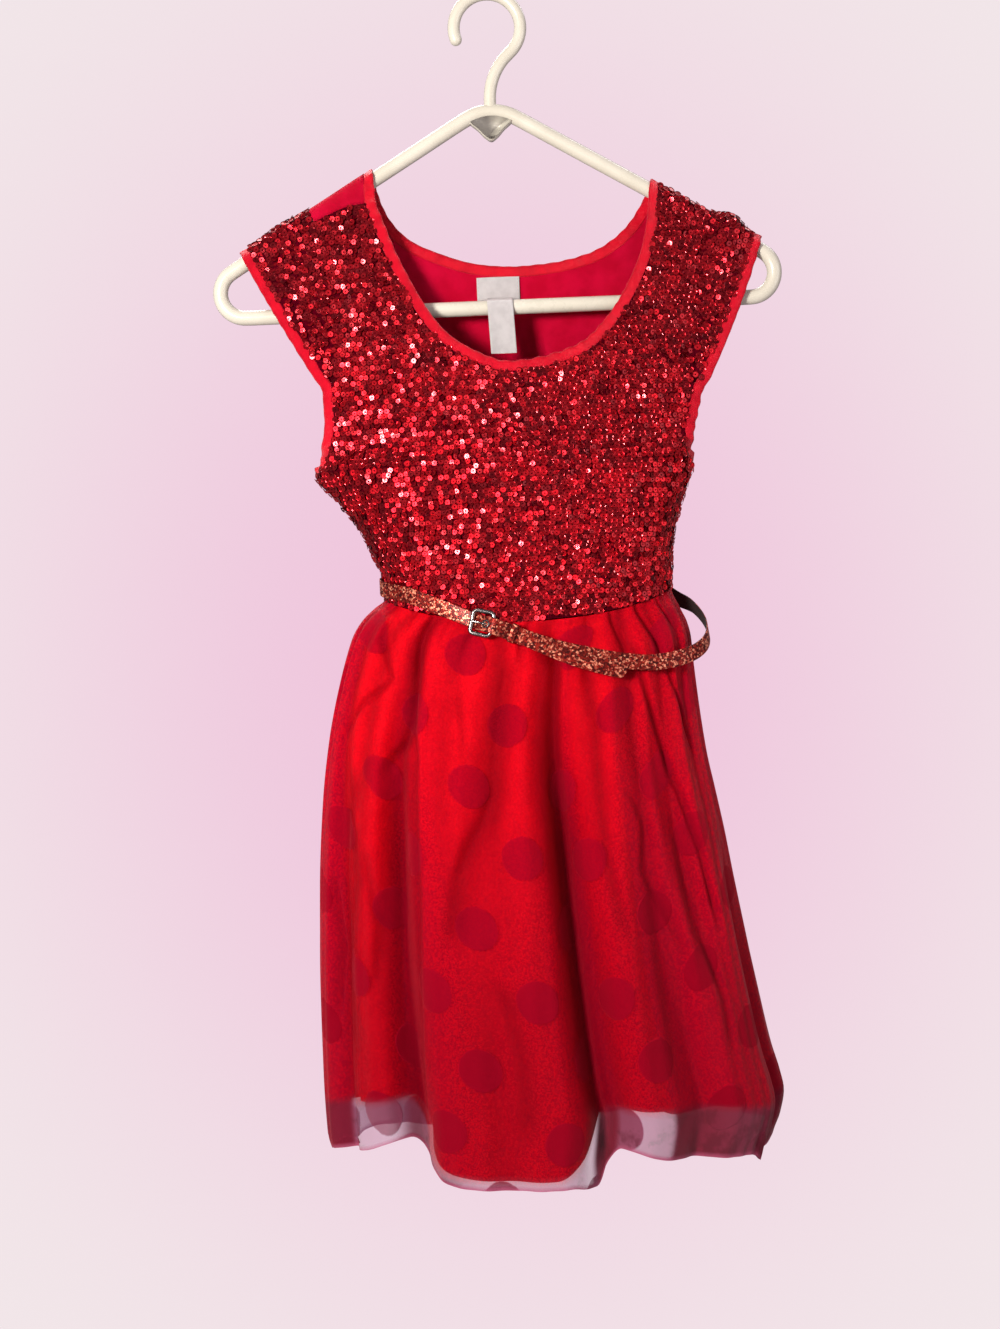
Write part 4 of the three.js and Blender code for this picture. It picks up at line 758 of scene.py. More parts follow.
jersey = Finish("crimson_jersey", Roughness=0.72, Sheen_Weight=0.4, Sheen_Roughness=0.5, Sheen_Tint=GLOSS,
                Specular_IOR_Level=0.35, Specular_Tint=GLOSS)
u, v = jersey.uv()
rib = (u * 7.4).sine()
loops = jersey.maths("ABSOLUTE", rib) + (v * 11.0 + rib * 1.4).sine() * 0.5
dye = jersey.step(jersey.noise(70, 4), 0.3, 0.72)
jersey.link(
    Base_Color=jersey.blend(dye, (0.66, 0.0, 0.03), (0.82, 0.002, 0.05)),
    Roughness=jersey.noise(300, 2) * 0.2 + 0.6,
).bump(loops * 0.5 + jersey.noise(50, 3) * 1.6, 0.0005)
back_phi, back_rise, back_neck = top_edge(1, NECK_BACK, left_over, right_over)
back_grid = panel_grid(1, back_phi, back_rise)
back_piece = build("bodice_back_jersey", [(back_grid, "", cloth_uv(back_grid))], jersey,
                   ["back_bodice"], 1.0)

# ---------------------------------------------------------------- bodice front
# The real front is red knit covered in 5 mm foil sequins, each sewn by the hole in its middle, so
# that they lie over one another at all tilts; a deep scooped neck, cut in one to the waist.
NECK_FRONT = [
    (-86, -143), (-79, -163), (-69.2, -188.6), (-50, -226), (-31.8, -247.4), (-5, -262.5), (9.5, -265),
    (30, -262.8), (52, -256.5), (67, -247), (87, -223), (103.7, -190.5), (109.5, -165), (112.8, -139),
]
SEQUIN_R, HOLE_R = 2.45, 0.55
PITCH, STAGGER, ROW_GAP, CAP_ROW_GAP = 4.15, 2.1, 3.6, 3.3
RINGS, SIDES = 3, 12

knit = Finish("sequin_ground_knit", Roughness=0.7, Specular_IOR_Level=0.3, Specular_Tint=GLOSS)
u, v = knit.uv()
knit.link(
    Base_Color=knit.blend(knit.noise(240, 3), (0.05, 0.0, 0.004), (0.16, 0.0, 0.012)),
    Roughness=knit.noise(300, 2) * 0.2 + 0.6,
).bump((u * 5.0).sine() + (v * 6.0).sine(), 0.0003)

foil = Finish("sequin_foil", Coat_Weight=0.17, Coat_Roughness=0.1, Coat_Tint=(1.0, 0.66, 0.42, 1.0))
# tone: each sequin's chance tone, with painted shade towards the shoulders
tone_and_shade = foil.mark("tone_and_shade")
foil.link(
    Base_Color=foil.node("ValToRGB", {"stops": [(0.0, (0.11, 0.0, 0.005)), (1.0, (0.80, 0.008, 0.022))]},
                         {0: tone_and_shade * 0.85 + foil.noise(45, 2) * 0.4 - 0.12}),
    Roughness=tone_and_shade * 0.14 + 0.23,
    Metallic=tone_and_shade * 0.15 + 0.75,
).bump(foil.noise(1500, 2), 0.00004)
rng = np.random.default_rng(11)


def spread(rows, keep):
    """Even staggered places on rows of cloth points (rows, dense, 3): PITCH apart along each row,
    with a little scatter. Returns the row and the share along it of each place."""
    far = np.linalg.norm(np.diff(rows, axis=1), axis=2).cumsum(1)
    ids, shares = [], []
    for i, run in enumerate(far):
        at = np.arange(keep + (i % 2) * STAGGER, run[-1] - keep, PITCH)
        at = at + rng.normal(0, 0.3, len(at))
        ids.append(np.full(len(at), i))
        shares.append(np.interp(at, np.concatenate(([0], run)), np.linspace(0, 1, len(run) + 1)))
    return np.concatenate(ids), np.concatenate(shares)


def sequins(at, across, up, side_of, lift=0.75):
    """Sequins at points, with the cloth's directions across and up: three rings of 12, the hole,
    the flat and the slightly raised rim, each set turned and tilted by its own chance amount."""
    count = len(at)
    normal = unit(np.cross(across, up))
    normal = normal * np.sign(np.sum(normal * side_of, 1))[:, None]
    lean = rng.normal(0, 0.2, (count, 2))
    normal = unit(normal + lean[:, :1] * unit(across) + lean[:, 1:] * unit(up))
    first = unit(across - np.sum(across * normal, 1)[:, None] * normal)
    second = np.cross(normal, first)
    a = np.linspace(0, 2 * np.pi, SIDES, endpoint=False)[None] + rng.uniform(0, 6.3, (count, 1))
    radii, heights = np.array([HOLE_R, 1.9, SEQUIN_R]), np.array([0.0, 0.02, 0.3])
    ring = np.cos(a)[..., None] * first[:, None] + np.sin(a)[..., None] * second[:, None]
    centre = at + normal * (lift + rng.uniform(0, 0.8, (count, 1)))
    points = (centre[:, None, None] + radii[None, :, None, None] * ring[:, None]
              + heights[None, :, None, None] * normal[:, None, None])
    return points.reshape(count * RINGS, SIDES, 3)


def sequin_piece(name, points, nodes):
    """One object of flat-shaded sequins, each with a chance tone, darker towards the shoulders by painted
    shade.
    """
    count = len(points) // RINGS
    ids = np.arange(count * RINGS * SIDES).reshape(count, RINGS, SIDES)
    ids = np.concatenate((ids, ids[..., :1]), 2)
    quads = np.stack((ids[:, :-1, :-1], ids[:, 1:, :-1], ids[:, 1:, 1:], ids[:, :-1, 1:]), -1)
    # painted shade: sequins darker towards the shoulders
    tones_and_shade = rng.beta(1.3, 1.5, count) * mix(1, 0.55, smooth((points[::RINGS, 0, 2] + 340) / 150))
    return shape(name, points.reshape(-1, 3), quads.ravel(), np.full(quads.size // 4, 4), foil, nodes,
                 marks={"tone_and_shade": np.repeat(tones_and_shade, RINGS * SIDES)})


front_phi, front_rise, front_neck = top_edge(-1, NECK_FRONT, left_below, right_below)
front_grid = panel_grid(-1, front_phi, front_rise)
front_piece = build("bodice_front_knit", [(front_grid, "", cloth_uv(front_grid))], knit,
                    ["front_bodice"], 1.0)
levels = np.arange(WAIST - DROP + 2, front_rise.max(), ROW_GAP)
first, last = 0.001, np.pi - 0.001
dense = np.linspace(first, last, 400)
rows = hang(-1, *np.broadcast_arrays(dense[None], levels[:, None]))
row, share = spread(rows, 2.2)
phi, rise = mix(first, last, share), levels[row] + rng.normal(0, 0.25, len(row))
inside = (rise < np.interp(phi, front_phi, front_rise) - 0.8) & (rise > waist_z(phi) + 1.6)
phi, rise = phi[inside], rise[inside]
across, up = slopes(hang, -1, phi, rise, steps=(0.004, 0.6))
at = hang(-1, phi, rise)
forward = np.broadcast_to([0.0, -1.0, 0.0], at.shape)
front_sequins = sequin_piece("bodice_front_sequins", sequins(at, across, up, forward), [])

# ---------------------------------------------------------------- cap sleeves
# The real caps are the same sequinned knit, gathered a little into the armhole seam; each hangs
# over the end of the hanger's tube, and its hem is bound.
CAPS = {
    "left": ((-139.6, -125.8, -271), (-184.4, -129.5, -273), 1.5, 1.2),
    "right": ((163.4, 142.4, -283), (191, 145.6, -285), 5, 2.5),
}


def cap(which, a, b):
    """Cap sleeve at a, from the front foot (-1) over the ridge (0) to the back foot (1), and b,
    from the armhole seam (0) to the hem (1): straight lines between the two edges, laid over the
    tube, with a belly between them and a pucker at the seam."""
    (seam_x0, _, seam_z1), (hem_x0, hem_x1, hem_z1), puff, bow = CAPS[which]
    arc = math.pi * SHOULDER / 2
    sign = -1.0 if which == "left" else 1.0
    side, f = np.where(a < 0, -1.0, 1.0), np.abs(a)
    seam_z = mix(arm_z(seam_x0) + arc, seam_z1, f)
    seam_x = table(LEFT if sign < 0 else RIGHT, seam_z) - sign * 1.2
    hem_x = mix(hem_x0, hem_x1, f) + sign * bow * np.sin(np.pi * f)
    x = mix(seam_x, hem_x, b)
    rise = mix(seam_z, mix(arm_z(hem_x0) + arc, hem_z1, f), b)
    down = np.maximum(0, arm_z(x) + arc - rise) * smooth(f * 20)
    belly = puff * np.sin(np.pi * b) ** 2 * np.exp(-(((down - 12) / 26) ** 2))
    pucker = 0.7 * (1 - b) * np.sin(f * 46) * smooth(f * 6)
    edge = np.maximum(table(ARM_EDGE, seam_z - UNDERARM), SHOULDER) - SHOULDER
    hem = 0.9 * b * np.exp(-((down / 9) ** 2))
    r = SHOULDER + belly + pucker + edge * smooth(down / 40) * mix(1, 0.8, b) + 0.2 + hem
    turn = down / SHOULDER
    over = xyz(x, side * r * np.sin(turn), arm_z(x) + r * LIFT * np.cos(turn))
    low = xyz(x, side * r, arm_z(x) - (down - arc))
    return np.where((down < arc)[..., None], over, low)


CAP_RUN = np.linspace(-1, 1, 121)
for which in CAPS:
    grid = cap(which, *np.broadcast_arrays(CAP_RUN[None], np.linspace(0, 1, 30)[:, None]))
    shell = build(f"cap_sleeve_{which}_knit", [(grid, "", cloth_uv(grid))], knit,
                  [f"{which}_cap_sleeve"], 1.0)
    levels = np.linspace(0.03, 0.97, 13 if which == "left" else 9)
    dense = np.linspace(-1, 1, 500)
    row, share = spread(cap(which, *np.broadcast_arrays(dense[None], levels[:, None])), 2.0)
    a, b = mix(-1.0, 1.0, share), levels[row]
    gap = np.linalg.norm(slopes(cap, which, a, b, steps=(0.006, 0.02))[1], axis=1) / 0.04
    keep = rng.uniform(0, 1, len(a)) < gap * (levels[1] - levels[0]) / CAP_ROW_GAP
    a, b = a[keep], b[keep] + rng.normal(0, 0.01, keep.sum())
    at = cap(which, a, b)
    across, up = slopes(cap, which, a, b, steps=(0.006, 0.02))
    away = at - xyz(at[:, 0], 0, np.minimum(arm_z(at[:, 0]), at[:, 2]))
    beads = sequins(at, across, up, away, 0.6)
    beads = sequin_piece(f"cap_sleeve_{which}_sequins", beads, [])

# ---------------------------------------------------------------- bindings
# The real bindings are 34 mm bias strips of red stretch satin, folded over the raw edges of neck
# and armholes and topstitched near the fold, so that they ruffle a little.
BIND_THICK, BITE = 2.0, 1.4


def frames_along(path, normal, towards):
    """Across and through directions of a closed path: through is the cloth's normal made square
    to the path, and across points towards the open side."""
    run = along(path, True)
    through = unit(normal - np.sum(normal * run, 1)[:, None] * run)
    across = np.cross(through, run)
    across = across * np.sign(np.sum(across * towards, 1))[:, None]
    return unit(across), through


def soften(rows, rounds):
    """A closed run of vectors, each made the mean of itself and its neighbours, several times."""
    for _ in range(rounds):
        rows = (np.roll(rows, 1, 0) + 2 * rows + np.roll(rows, -1, 0)) / 4
    return rows


def tape(path, across, through, width, thick, ruffle, seed):
    """A folded tape along a closed path: a flat oval section, its free edge thicker, pushed to
    and fro by two uneven waves along it. u is its length and v runs round it, in millimetres."""
    far = lengths(path)
    total = far[-1] + np.linalg.norm(path[0] - path[-1])
    phase = 2 * np.pi * far / total
    wave = np.sin(phase * np.round(total / 11.0) + 1.5 * np.sin(phase * 5 + seed))
    wave = wave * (0.6 + 0.4 * np.sin(phase * 3 + seed * 2))
    push = ruffle * wave[:, None, None]
    wide, deep = oval(width / 2, thick / 2, 20, 0.55, 0.75).T
    deep = deep * (0.85 + 0.15 * wide / width * 2)
    free = (0.5 + wide / width)[:, None]
    points = carry(path, across, through, np.stack((wide, deep), -1))
    points = points + push * free**1.5 * through[:, None] + 0.35 * push * free * across[:, None]
    return points, "rc", uv_grid(np.append(far, total), np.linspace(0, 2 * width, 21))


BLUSH = (1.0, 0.35, 0.38, 1.0)
satin = Finish("binding_satin", Sheen_Weight=0.25, Sheen_Roughness=0.35, Sheen_Tint=BLUSH,
               Specular_IOR_Level=0.6, Specular_Tint=BLUSH)
u, v = satin.uv()
stitch_row = 1.0 - satin.step(satin.maths("ABSOLUTE", satin.maths("PINGPONG", v, BIND) - 6.9), 0.15, 0.5)
stitch = satin.step((u * 2.4).sine(), -0.1, 0.4) * stitch_row
weave = (u * 14 + v * 14).sine() * 0.2
dark = stitch * 0.6 + satin.step(satin.noise(90, 3), 0.35, 0.8) * 0.5
satin.link(
    Base_Color=satin.blend(dark, (0.80, 0.004, 0.024), (0.42, 0.0, 0.012)),
    Roughness=satin.noise(260, 2) * 0.2 + 0.3,
).bump(stitch * 0.9 - stitch_row * 1.6 + weave + satin.noise(170, 3) * 2.6, 0.0005)


def edge_normal(side, phi, rise):
    """Normal of a bodice panel, read a little inside the armhole edges."""
    phi = np.clip(phi, 0.12, np.pi - 0.12)
    return unit(np.cross(*slopes(hang, side, phi, rise, steps=(0.0015, 0.3))))


def join(*runs):
    """Runs of edge points, normals and directions end to end."""
    return (np.vstack(part) for part in zip(*runs))


def neck_run(side, phi, rise, cols, back):
    """Edge points of a panel's neckline, its normals, and directions into the opening."""
    at = hang(side, phi[cols], rise[cols])
    towards = xyz(14 - at[:, 0], 0, -150 - at[:, 2])
    normal = edge_normal(side, phi[cols], rise[cols]) * (-1 if back else 1)
    order = slice(None, None, -1 if back else 1)
    return at[order], normal[order], towards[order]


def bind(node, edge, rounds, ruffle, seed):
    """A binding round edge points, with their normals and directions to the open side: it bites
    BITE over the edge, its across and its through directions each softened by rounds."""
    at, normal, towards = edge
    across, through = frames_along(at, normal, towards)
    path = soften(at + unit(soften(across, rounds[0])) * (BIND / 2 - BITE), 3)
    across, through = frames_along(path, soften(through, rounds[1]), towards)
    ribbon = tape(path, across, through, BIND, BIND_THICK, ruffle, seed)
    return build(f"{node}_satin", [ribbon], satin, [node])


neck_tape = bind("neck_binding", join(
    neck_run(-1, front_phi, front_rise, front_neck, False),
    neck_run(1, back_phi, back_rise, back_neck, True)), (6, 4), 0.9, 1.0)

for which, sign in (("left", -1.0), ("right", 1.0)):
    z = np.linspace(UNDERARM + 1, CAPS[which][1][2] - 5, 34)
    seam, inside = (0.0, 0.4) if sign < 0 else (np.pi, np.pi - 0.4)
    sides = []
    for side in (-1, 1):
        at = hang(side, np.full(len(z), seam), z)
        inner = hang(side, np.full(len(z), inside), z - 3)
        sides.append((at, edge_normal(side, np.full(len(z), seam), z) * -side, at - inner))
    rim = np.ones(len(CAP_RUN))
    hem = cap(which, CAP_RUN, rim)
    tangent = slopes(cap, which, CAP_RUN, rim, steps=(0.004, 0.01))[0]
    inward = cap(which, CAP_RUN, rim * 0.99) - hem
    hem_normal = unit(np.cross(tangent, inward)) * (1 if sign > 0 else -1)
    away = np.broadcast_to([sign, 0.0, -0.35], hem.shape)
    back = tuple(part[::-1] for part in sides[1])
    ring = bind(f"{which}_armhole_binding", join(sides[0], (hem, hem_normal, away), back), (5, 0), 0.6,
                2.0 + sign)

# ---------------------------------------------------------------- belt strap
# The real belt is an 11.5 mm strap of copper-red glitter on a dark brown backing, worn slack: it
# rests on the waist, stands off at the right side, and goes through its buckle and keeper.
STRAP_W, STRAP_T = 11.5, 1.3
BELT_FRONT = [
    (80, -496, 3.4), (62, -491, 3.4), (44, -485, 3.5), (27, -477.5, 3.8), (12, -470, 4.5), (1, -465, 5.1),
    (-3, -463.4, 5.9), (-7, -462, 7.6), (-10.5, -460.6, 9.7), (-13.5, -459.5, 10), (-17, -458.2, 8.4),
    (-21, -456.8, 5.9), (-25, -455.2, 3.2), (-28.5, -453.8, 2.2), (-36, -450.5, 1.8), (-48, -445, 1.6),
    (-60, -440, 1.6), (-73, -434.5, 1.6),
]
BELT_ROUND = [
    (372, -429.5, 1.6), (360, -427, 1.6), (348, -426, 1.6), (330, -425.5, 1.6), (308, -426, 1.6),
    (284, -427, 1.6), (260, -427.5, 1.7), (238, -428.5, 2.2), (220, -431.5, 4), (208, -437, 7.5),
    (199, -446, 9.5), (190, -456, 11), (181, -467, 12), (171, -477, 11.8), (160, -484.5, 9.8),
    (148, -489, 6.6), (136, -490.5, 3.4), (126, -488.5, 1.9), (118, -485.5, 1.5), (110, -481.5, 1.6),
    (103, -477.5, 1.8), (96.5, -473, 2.2), (91, -469, 2.7), (86.5, -465.8, 3), (83, -463.2, 3),
]
FRAME_L, FRAME_H, WIRE = 15.0, 17.0, 1.65


def on_waist(phi, z, out):
    """Points out from the dress, and their outward directions: the body's normal, leaned towards
    level, most above the waist."""
    phi = np.mod(phi, 2 * np.pi)
    normal = unit(np.cross(*slopes(body, phi, z, steps=(0.004, 3))))
    level = outward(phi, z)
    normal = normal * np.sign(np.sum(normal * level, -1))[..., None]
    lean = unit(mix(normal, level, np.where(z > WAIST - 12, 0.9, 0.3)[..., None]))
    return body(phi, z) + lean * np.asarray(out)[..., None], lean


def seat(x, z, out, degrees):
    """A place on the front and its axes: along the strap there, which lies at degrees to level,
    up across it, and out from the dress."""
    at, level = on_waist(angle_at(np.array([x]), np.array([z])), np.array([z]), np.array([out]))
    at, out = at[0], level[0]
    tilt = math.radians(degrees)
    run = np.array([math.cos(tilt), 0, math.sin(tilt)])
    run = unit(run - run.dot(out) * out)
    return at, run, unit(np.cross(out, run)), out


front_x, front_z, front_out = np.array(BELT_FRONT).T
round_deg, round_z, round_out = np.array(BELT_ROUND).T
belt_phi = np.concatenate((angle_at(front_x, front_z), np.radians(round_deg)))
belt_rows, belt_leans = on_waist(
    belt_phi, np.concatenate((front_z, round_z)), np.concatenate((front_out, round_out)) + 0.5)
BELT_STEPS, FRONT_STEPS = 620, 300
path = curve(belt_rows, BELT_STEPS)
chord = lengths(belt_rows)
share = np.linspace(0, chord[-1], len(path))
lean = unit(np.stack([np.interp(share, chord, belt_leans[:, k]) for k in range(3)], -1))
run = along(path)
across = unit(np.cross(lean, run))
through = unit(np.cross(run, across))
frame_at, frame_run, frame_up, frame_out = seat(-21.0, -456.8, 5.9, -15)


def on_frame(way, up, out):
    """Points on the buckle's own axes: way along the strap, up across it, out from the dress."""
    return frame_at + np.stack(np.broadcast_arrays(way, up, out), -1) @ (frame_run, frame_up, frame_out)


bend = WIRE + 0.25 + 0.7
a = np.linspace(-np.pi / 2, -np.pi * 1.5, 24)
fold = on_frame(FRAME_L / 2 + bend * np.cos(a), 0, bend * np.sin(a))
fold_through = -(np.multiply.outer(np.cos(a), frame_run) + np.multiply.outer(np.sin(a), frame_out))
fold_across = np.broadcast_to(frame_up * np.sign(across[-1].dot(frame_up)), fold.shape)
end = on_frame([FRAME_L / 2 + 1], 0, bend)
path = np.vstack((path, fold, end))
across = np.vstack((across, fold_across, fold_across[-1:]))
through = np.vstack((through, fold_through, -frame_out[None]))
section = oval(STRAP_W / 2, STRAP_T / 2, 24, 0.12, 0.45)
far = lengths(path)
rounded = np.sqrt(np.clip(1 - (1 - far / (STRAP_W / 2)) ** 2, 0.002, 1))
scale = np.where(far < STRAP_W / 2, rounded, 1.0)
points = carry(path, across * scale[:, None], through, section)
uv = uv_grid(far, np.append(section[:, 1], section[0, 1]))

glitter = Finish("belt_glitter_copper", Coat_Weight=0.05, Coat_Roughness=0.2, Coat_Tint=(1.0, 0.7, 0.55, 1.0))
_, v = glitter.uv()
face = glitter.step(v, -0.1, 0.3)
flake, spark = glitter.cells(2600.0)
chip = next(glitter.cells(720.0))
face_colour = glitter.node("ValToRGB", {"stops": [(0.3, (0.035, 0.0, 0.001)), (0.95, (0.72, 0.035, 0.018))]},
                           {0: flake * 0.45 + chip * 0.55})
bright = glitter.step(chip * 0.75 + spark * 0.25, 0.72, 0.8)
face_colour = glitter.blend(bright, face_colour, (1.0, 0.40, 0.25))
glitter.link(
    Base_Color=glitter.blend(face, (0.014, 0.007, 0.006), face_colour),
    Metallic=face * 0.7,
    Roughness=0.66 - face * spark * 0.26,
).bump(flake * face * 0.5 + chip * face, 0.0004)
strap = build("belt_strap_glitter", [(points, "ck", uv)], glitter, ["belt_strap"])

# ---------------------------------------------------------------- buckle, prong, eyelet, keeper
# The real buckle is a cast frame of polished gunmetal-plated zinc with a thin wire prong, the
# strap's hole has a pressed brass eyelet plated to match, and the keeper is a loop of the strap.

def rounded_ring(length, height, corner, steps):
    """A rectangle with round corners as points: corner circles joined by straight sides."""
    a, b = length / 2 - corner, height / 2 - corner
    turn = np.linspace(0, np.pi / 2, steps)
    corners = [(a, b), (-a, b), (-a, -b), (a, -b)]
    turns = [turn + k * np.pi / 2 for k in range(4)]
    return np.vstack([centre + corner * np.stack((np.cos(t), np.sin(t)), -1)
                      for centre, t in zip(corners, turns)])


gunmetal = Finish("buckle_gunmetal", Metallic=1.0, Specular_IOR_Level=0.6)
wear = gunmetal.noise(600, 4)
gunmetal.link(
    Base_Color=gunmetal.blend(gunmetal.step(wear, 0.4, 0.75), (0.30, 0.285, 0.28), (0.12, 0.115, 0.11)),
    Roughness=wear * 0.16 + 0.1,
).bump(gunmetal.noise(900, 2), 0.00005)
flat = rounded_ring(FRAME_L, FRAME_H, 3.0, 9)
ring_path = on_frame(*flat.T, 0)
out = np.broadcast_to(frame_out, ring_path.shape)
ring = carry(ring_path, unit(np.cross(along(ring_path, True), out)), out, oval(WIRE, WIRE, 20))
build("buckle_frame_metal", [(ring, "rc", None)], gunmetal, ["belt_buckle"])

EYELET_X = -18.6
near = int(np.argmin(np.abs(path[:FRONT_STEPS, 0] - EYELET_X)))
eye_at, eye_run, eye_across = path[near], along(path[:FRONT_STEPS])[near], across[near]
eye_out = unit(np.cross(eye_run, eye_across))
eye_out = eye_out * np.sign(eye_out.dot(frame_out))
rim = oval(1, 1, 40) @ (eye_run, eye_across)


def turned(*profile):
    """Pairs of radius and height over the strap's face, turned about the eyelet's axis."""
    radius, height = np.array(profile).T[..., None, None]
    return eye_at + radius * rim + (height + 0.85) * eye_out


lip = turned((2.0, 0.0), (1.95, 0.25), (2.15, 0.5), (2.5, 0.58), (2.85, 0.45), (3.1, 0.12), (3.1, 0.0))
# a near-black dish closing the eyelet's hole: painted shade of the hole
floor = turned((1.9, 0.05), (1.85, -0.25), (0.02, -0.3))
build("belt_eyelet_metal", [(lip, "rc", None)], gunmetal, ["belt_eyelet"])
dark = Finish("eyelet_hole_backing", Roughness=0.8)
dark.link(Base_Color=dark.blend(dark.noise(900, 2), (0.006, 0.004, 0.004), (0.014, 0.008, 0.007)))
dark.bump(dark.noise(1200, 2), 0.00005)
build("belt_hole_backing", [(floor, "c", None)], dark, [])

offset = eye_at - frame_at
ea, eu, eo = offset.dot(frame_run), offset.dot(frame_up), offset.dot(frame_out)
prong_run = np.array([
    (-9, 2.8), (-5, 3), (ea - 3.6, max(3, eo + 1.2)), (ea - 1.6, eo + 1.9), (ea - 0.3, eo + 1),
    (ea + 0.3, eo - 0.4), (ea + 0.5, eo - 1.6),
])
prong_path = curve(on_frame(prong_run[:, 0], eu, prong_run[:, 1]), 60)
up = np.broadcast_to(frame_up, prong_path.shape)
taper = np.clip(np.linspace(0.35, 4.0, len(prong_path)), 0, 1)
prong = carry(prong_path, up, unit(np.cross(along(prong_path), up)), oval(0.75, 0.75, 16), taper)
build("buckle_prong_metal", [(prong, "ck", None)], gunmetal, ["belt_prong"])

keep_at, keep_run, keep_up, keep_out = seat(0.5, -464.9, 4.6, -22)
flat = rounded_ring(13.1, 6.8, 1.2, 7)
loop_path = keep_at + flat @ (keep_up, keep_out)
side = np.broadcast_to(keep_run, loop_path.shape)
through = unit(np.cross(along(loop_path, True), side))
through = through * np.sign(np.sum(through * (loop_path - keep_at), 1))[:, None]
section = oval(2.25, 0.45, 16, 0.2, 0.5)
uv = uv_grid(np.arange(len(flat) + 1.0), np.append(section[:, 1], section[0, 1]))
build("belt_keeper_loop", [(carry(loop_path, side, through, section), "rc", uv)], glitter,
      ["belt_keeper"])

# ---------------------------------------------------------------- labels
# The real labels are white satin ribbons sewn into the back neck: a broad one flat on the jersey
# and a narrow long one that falls forward over the hanger's bar. Both are left bare.
ribbon = Finish("label_ribbon_white", Roughness=0.42, Sheen_Weight=0.25, Sheen_Roughness=0.3,
                Specular_IOR_Level=0.55)
u, v = ribbon.uv()
picks = (v * 18.0).sine() * 0.4 + (u * 30.0).sine() * 0.15
soil = ribbon.step(ribbon.noise(160, 3), 0.3, 0.75)
ribbon.link(
    Base_Color=ribbon.blend(soil, (0.86, 0.83, 0.84), (0.76, 0.73, 0.74)),
    Roughness=ribbon.noise(300, 2) * 0.2 + 0.32,
).bump(picks + ribbon.noise(90, 2) * 2.0, 0.00025)
x, z = np.meshgrid(np.linspace(-15.5, 16.5, 40), np.linspace(-199.5, -216.5, 20))
y = hang(1, angle_at(x, z), z)[..., 1] - 1.84
curl = 0.25 * np.sin((x + 15.5) / 32 * np.pi * 3) * smooth((-z - 205) / 12)
grid = xyz(x, y - np.abs(curl), z)
broad = build("brand_label_ribbon", [(grid, "", cloth_uv(grid))], ribbon, ["brand_label"], 0.4)

CARE_DROP = [(9.2, -215.8), (4.4, -216.9), (0, -218.1), (-4.4, -219.9), (-6.2, -224.3), (-6.6, -231),
             (-6.5, -245), (-6.3, -259)]
spine = curve(CARE_DROP, 70, ease=0)
a = np.linspace(0, 1, 24)
x = mix(-8.5, 10.5, a)[None] - 0.04 * (spine[:, 1:] + 216)
down = smooth((-spine[:, 1:] - 232) / 26)
y = spine[:, :1] - 0.35 - 1.6 * down * (2 * a[None] - 1) ** 2 * np.where(a < 0.5, 1.0, 0.4)[None]
grid = xyz(x, y, spine[:, 1:])
care = build("care_label_ribbon", [(grid, "", cloth_uv(grid))], ribbon, ["care_label"], 0.4)

# thread of the labels' seams: short stitches of white cotton across the broad label's two ends
cotton = Finish("sewing_thread_white", Roughness=0.7)
cotton.link(Base_Color=cotton.blend(cotton.noise(2500, 2), (0.75, 0.73, 0.72), (0.6, 0.58, 0.57)))
cotton.bump(cotton.noise(4000, 2), 0.00005)
stitches = []
for x0 in (-14.2, 15.2):
    for z0 in np.linspace(-201.5, -214.5, 6):
        s = np.linspace(-0.8, 0.8, 7)
        y0 = hang(1, angle_at(np.array([x0]), np.array([z0])), np.array([z0]))[0, 1] - 2.1
        line = xyz(x0 + 0 * s, y0 - 0.12 * (1 - (s / 0.8) ** 2), z0 + s)
        wide = np.broadcast_to([1.0, 0.0, 0.0], line.shape)
        thread = carry(line, wide, unit(np.cross(along(line), wide)), oval(0.16, 0.16, 8))
        stitches.append((thread, "ck", None))
build("brand_label_stitches", stitches, cotton, [])

# ---------------------------------------------------------------- stage, light and camera
# A pale pink paper room with round corners, floor far below, which only the camera sees; four
# soft boxes, and a portrait camera.
paper = Finish("pale_paper", Roughness=0.95, Emission_Strength=0.94)
px, pz = (paper.node("SeparateXYZ", {}, {0: paper.place()}, axis) for axis in (0, 2))
pz = pz + 0.75
spread_out = paper.maths("SQRT", px * px * 1.6 + pz * pz)
tint = paper.blend(paper.step(spread_out, 0.3, 3.3), (0.90, 0.58, 0.75), (0.92, 0.83, 0.85))
paper.link(
    Base_Color=paper.blend(paper.noise(3, 2), (0.03, 0.02, 0.025), (0.04, 0.03, 0.035)),
    Emission_Color=tint,
)
a = np.linspace(-np.pi / 2, np.pi / 2, 65)
turn = np.linspace(0, 2 * np.pi, 96, endpoint=False)
reach = 5000 * np.maximum(np.cos(a), 0.0) ** 0.5
height = 4000 * np.sign(np.sin(a)) * np.abs(np.sin(a)) ** 0.5 - 600
spots = xyz(reach[:, None] * np.cos(turn), reach[:, None] * np.sin(turn), height[:, None])[1:-1]
ids = np.arange(spots.size // 3).reshape(-1, len(turn))
ids = np.hstack((ids, ids[:, :1]))
quads = np.stack((ids[:-1, :-1], ids[1:, :-1], ids[1:, 1:], ids[:-1, 1:]), -1).reshape(-1, 4)
mesh = bpy.data.meshes.new("paper_room")
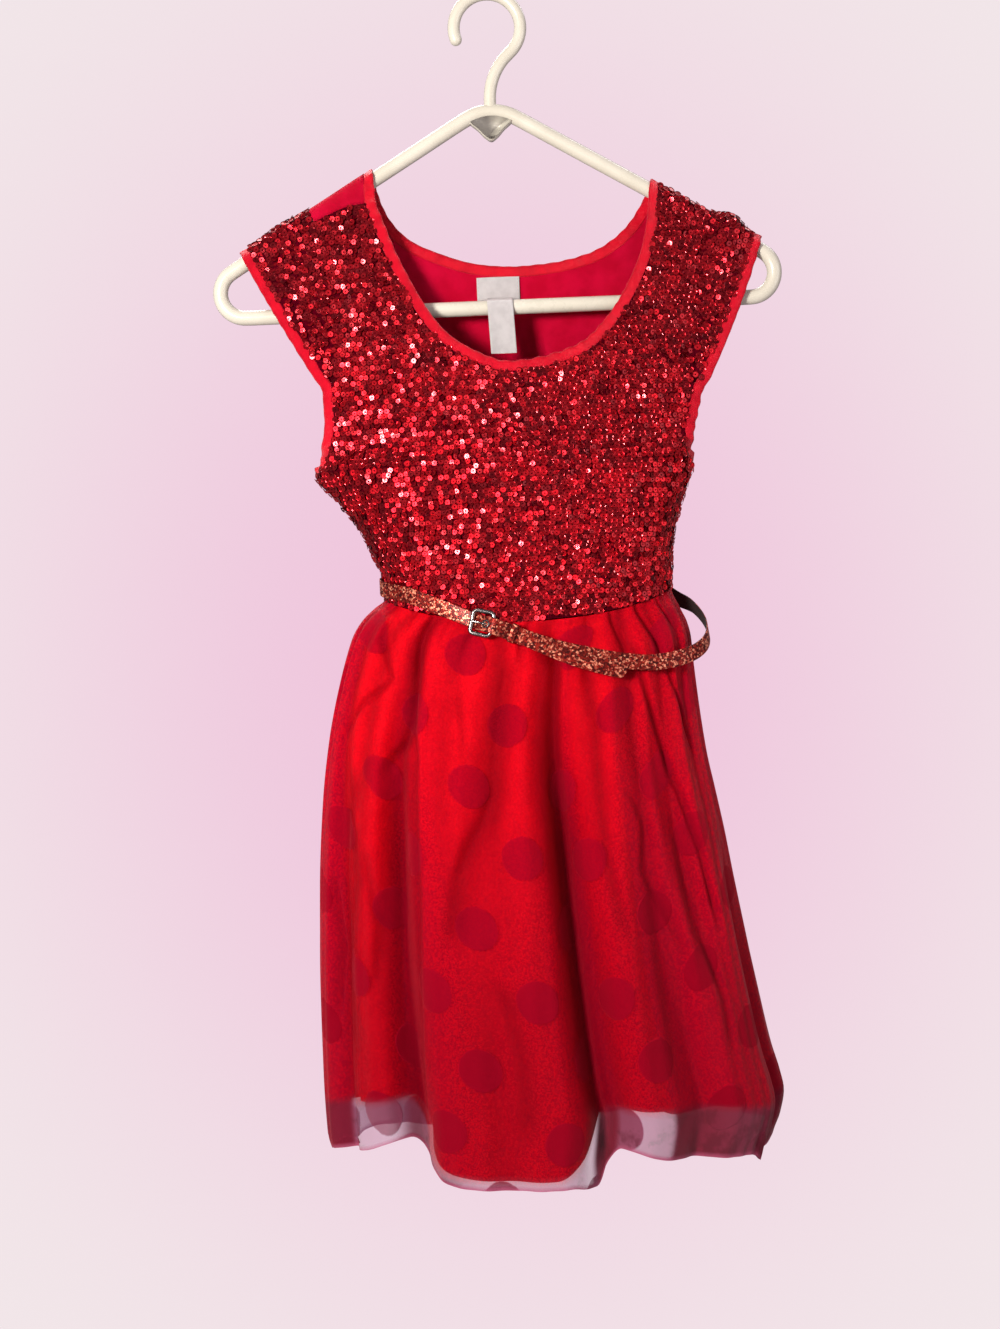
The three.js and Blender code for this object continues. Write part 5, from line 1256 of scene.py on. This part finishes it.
mesh.from_pydata((spots.reshape(-1, 3) * 0.001).tolist(), [],
                 quads.tolist() + [ids[0, :-1].tolist(), ids[-1, -2::-1].tolist()])
mesh.materials.append(paper.material)
paper_room = add("paper_room", mesh)
paper_room.visible_diffuse = paper_room.visible_glossy = paper_room.visible_transmission = False
paper_room.visible_shadow = False

world = bpy.data.worlds.new("studio")
world.use_nodes = True
sky = world.node_tree.nodes["Background"].inputs
sky["Color"].default_value = (1.0, 0.85, 0.9, 1)
sky["Strength"].default_value = 0.3
bpy.context.scene.world = world
bpy.context.scene.view_settings.view_transform = "Standard"
BOXES = [
    ("key_box", (-0.78, -1.38, -0.15), (0.0, 0.0, -0.48), 0.32, 34, (1, 0.94, 0.87)),
    ("fill_box", (1.6, -1.0, -0.2), (0.0, 0.0, -0.5), 1.2, 8, (1, 0.95, 0.97)),
    ("rim_box", (1.0, 0.75, 1.1), (0.0, 0.0, -0.3), 0.9, 8, (1, 0.96, 0.98)),
    ("back_box", (-0.5, 1.5, 1.5), (0.0, 0.0, -0.5), 1.2, 30, (1, 0.95, 0.93)),
]
for name, place, target, size, power, colour in BOXES:
    lamp = bpy.data.lights.new(name, "AREA")
    lamp.size, lamp.energy, lamp.color = size, power, colour
    box = add(name, lamp)
    box.location = place
    box.rotation_euler = (Vector(target) - Vector(place)).to_track_quat("-Z", "Y").to_euler()

ELEVATION, ROLL = math.radians(3.0), math.radians(2.4)
ahead = Vector((0, math.cos(ELEVATION), -math.sin(ELEVATION)))
level = Vector((1, 0, 0))
upright = level.cross(ahead)
view_right = math.cos(ROLL) * level - math.sin(ROLL) * upright
view_up = math.sin(ROLL) * level + math.cos(ROLL) * upright
lens = bpy.data.cameras.new("portrait")
lens.lens, lens.sensor_width, lens.clip_end = 48.76, 36.0, 20
camera = add("portrait", lens)
turned_to = Matrix((view_right, view_up, -ahead)).transposed().to_4x4()
camera.matrix_world = Matrix.Translation((-0.010, -1.3481, -0.4187)) @ turned_to
bpy.context.scene.camera = camera
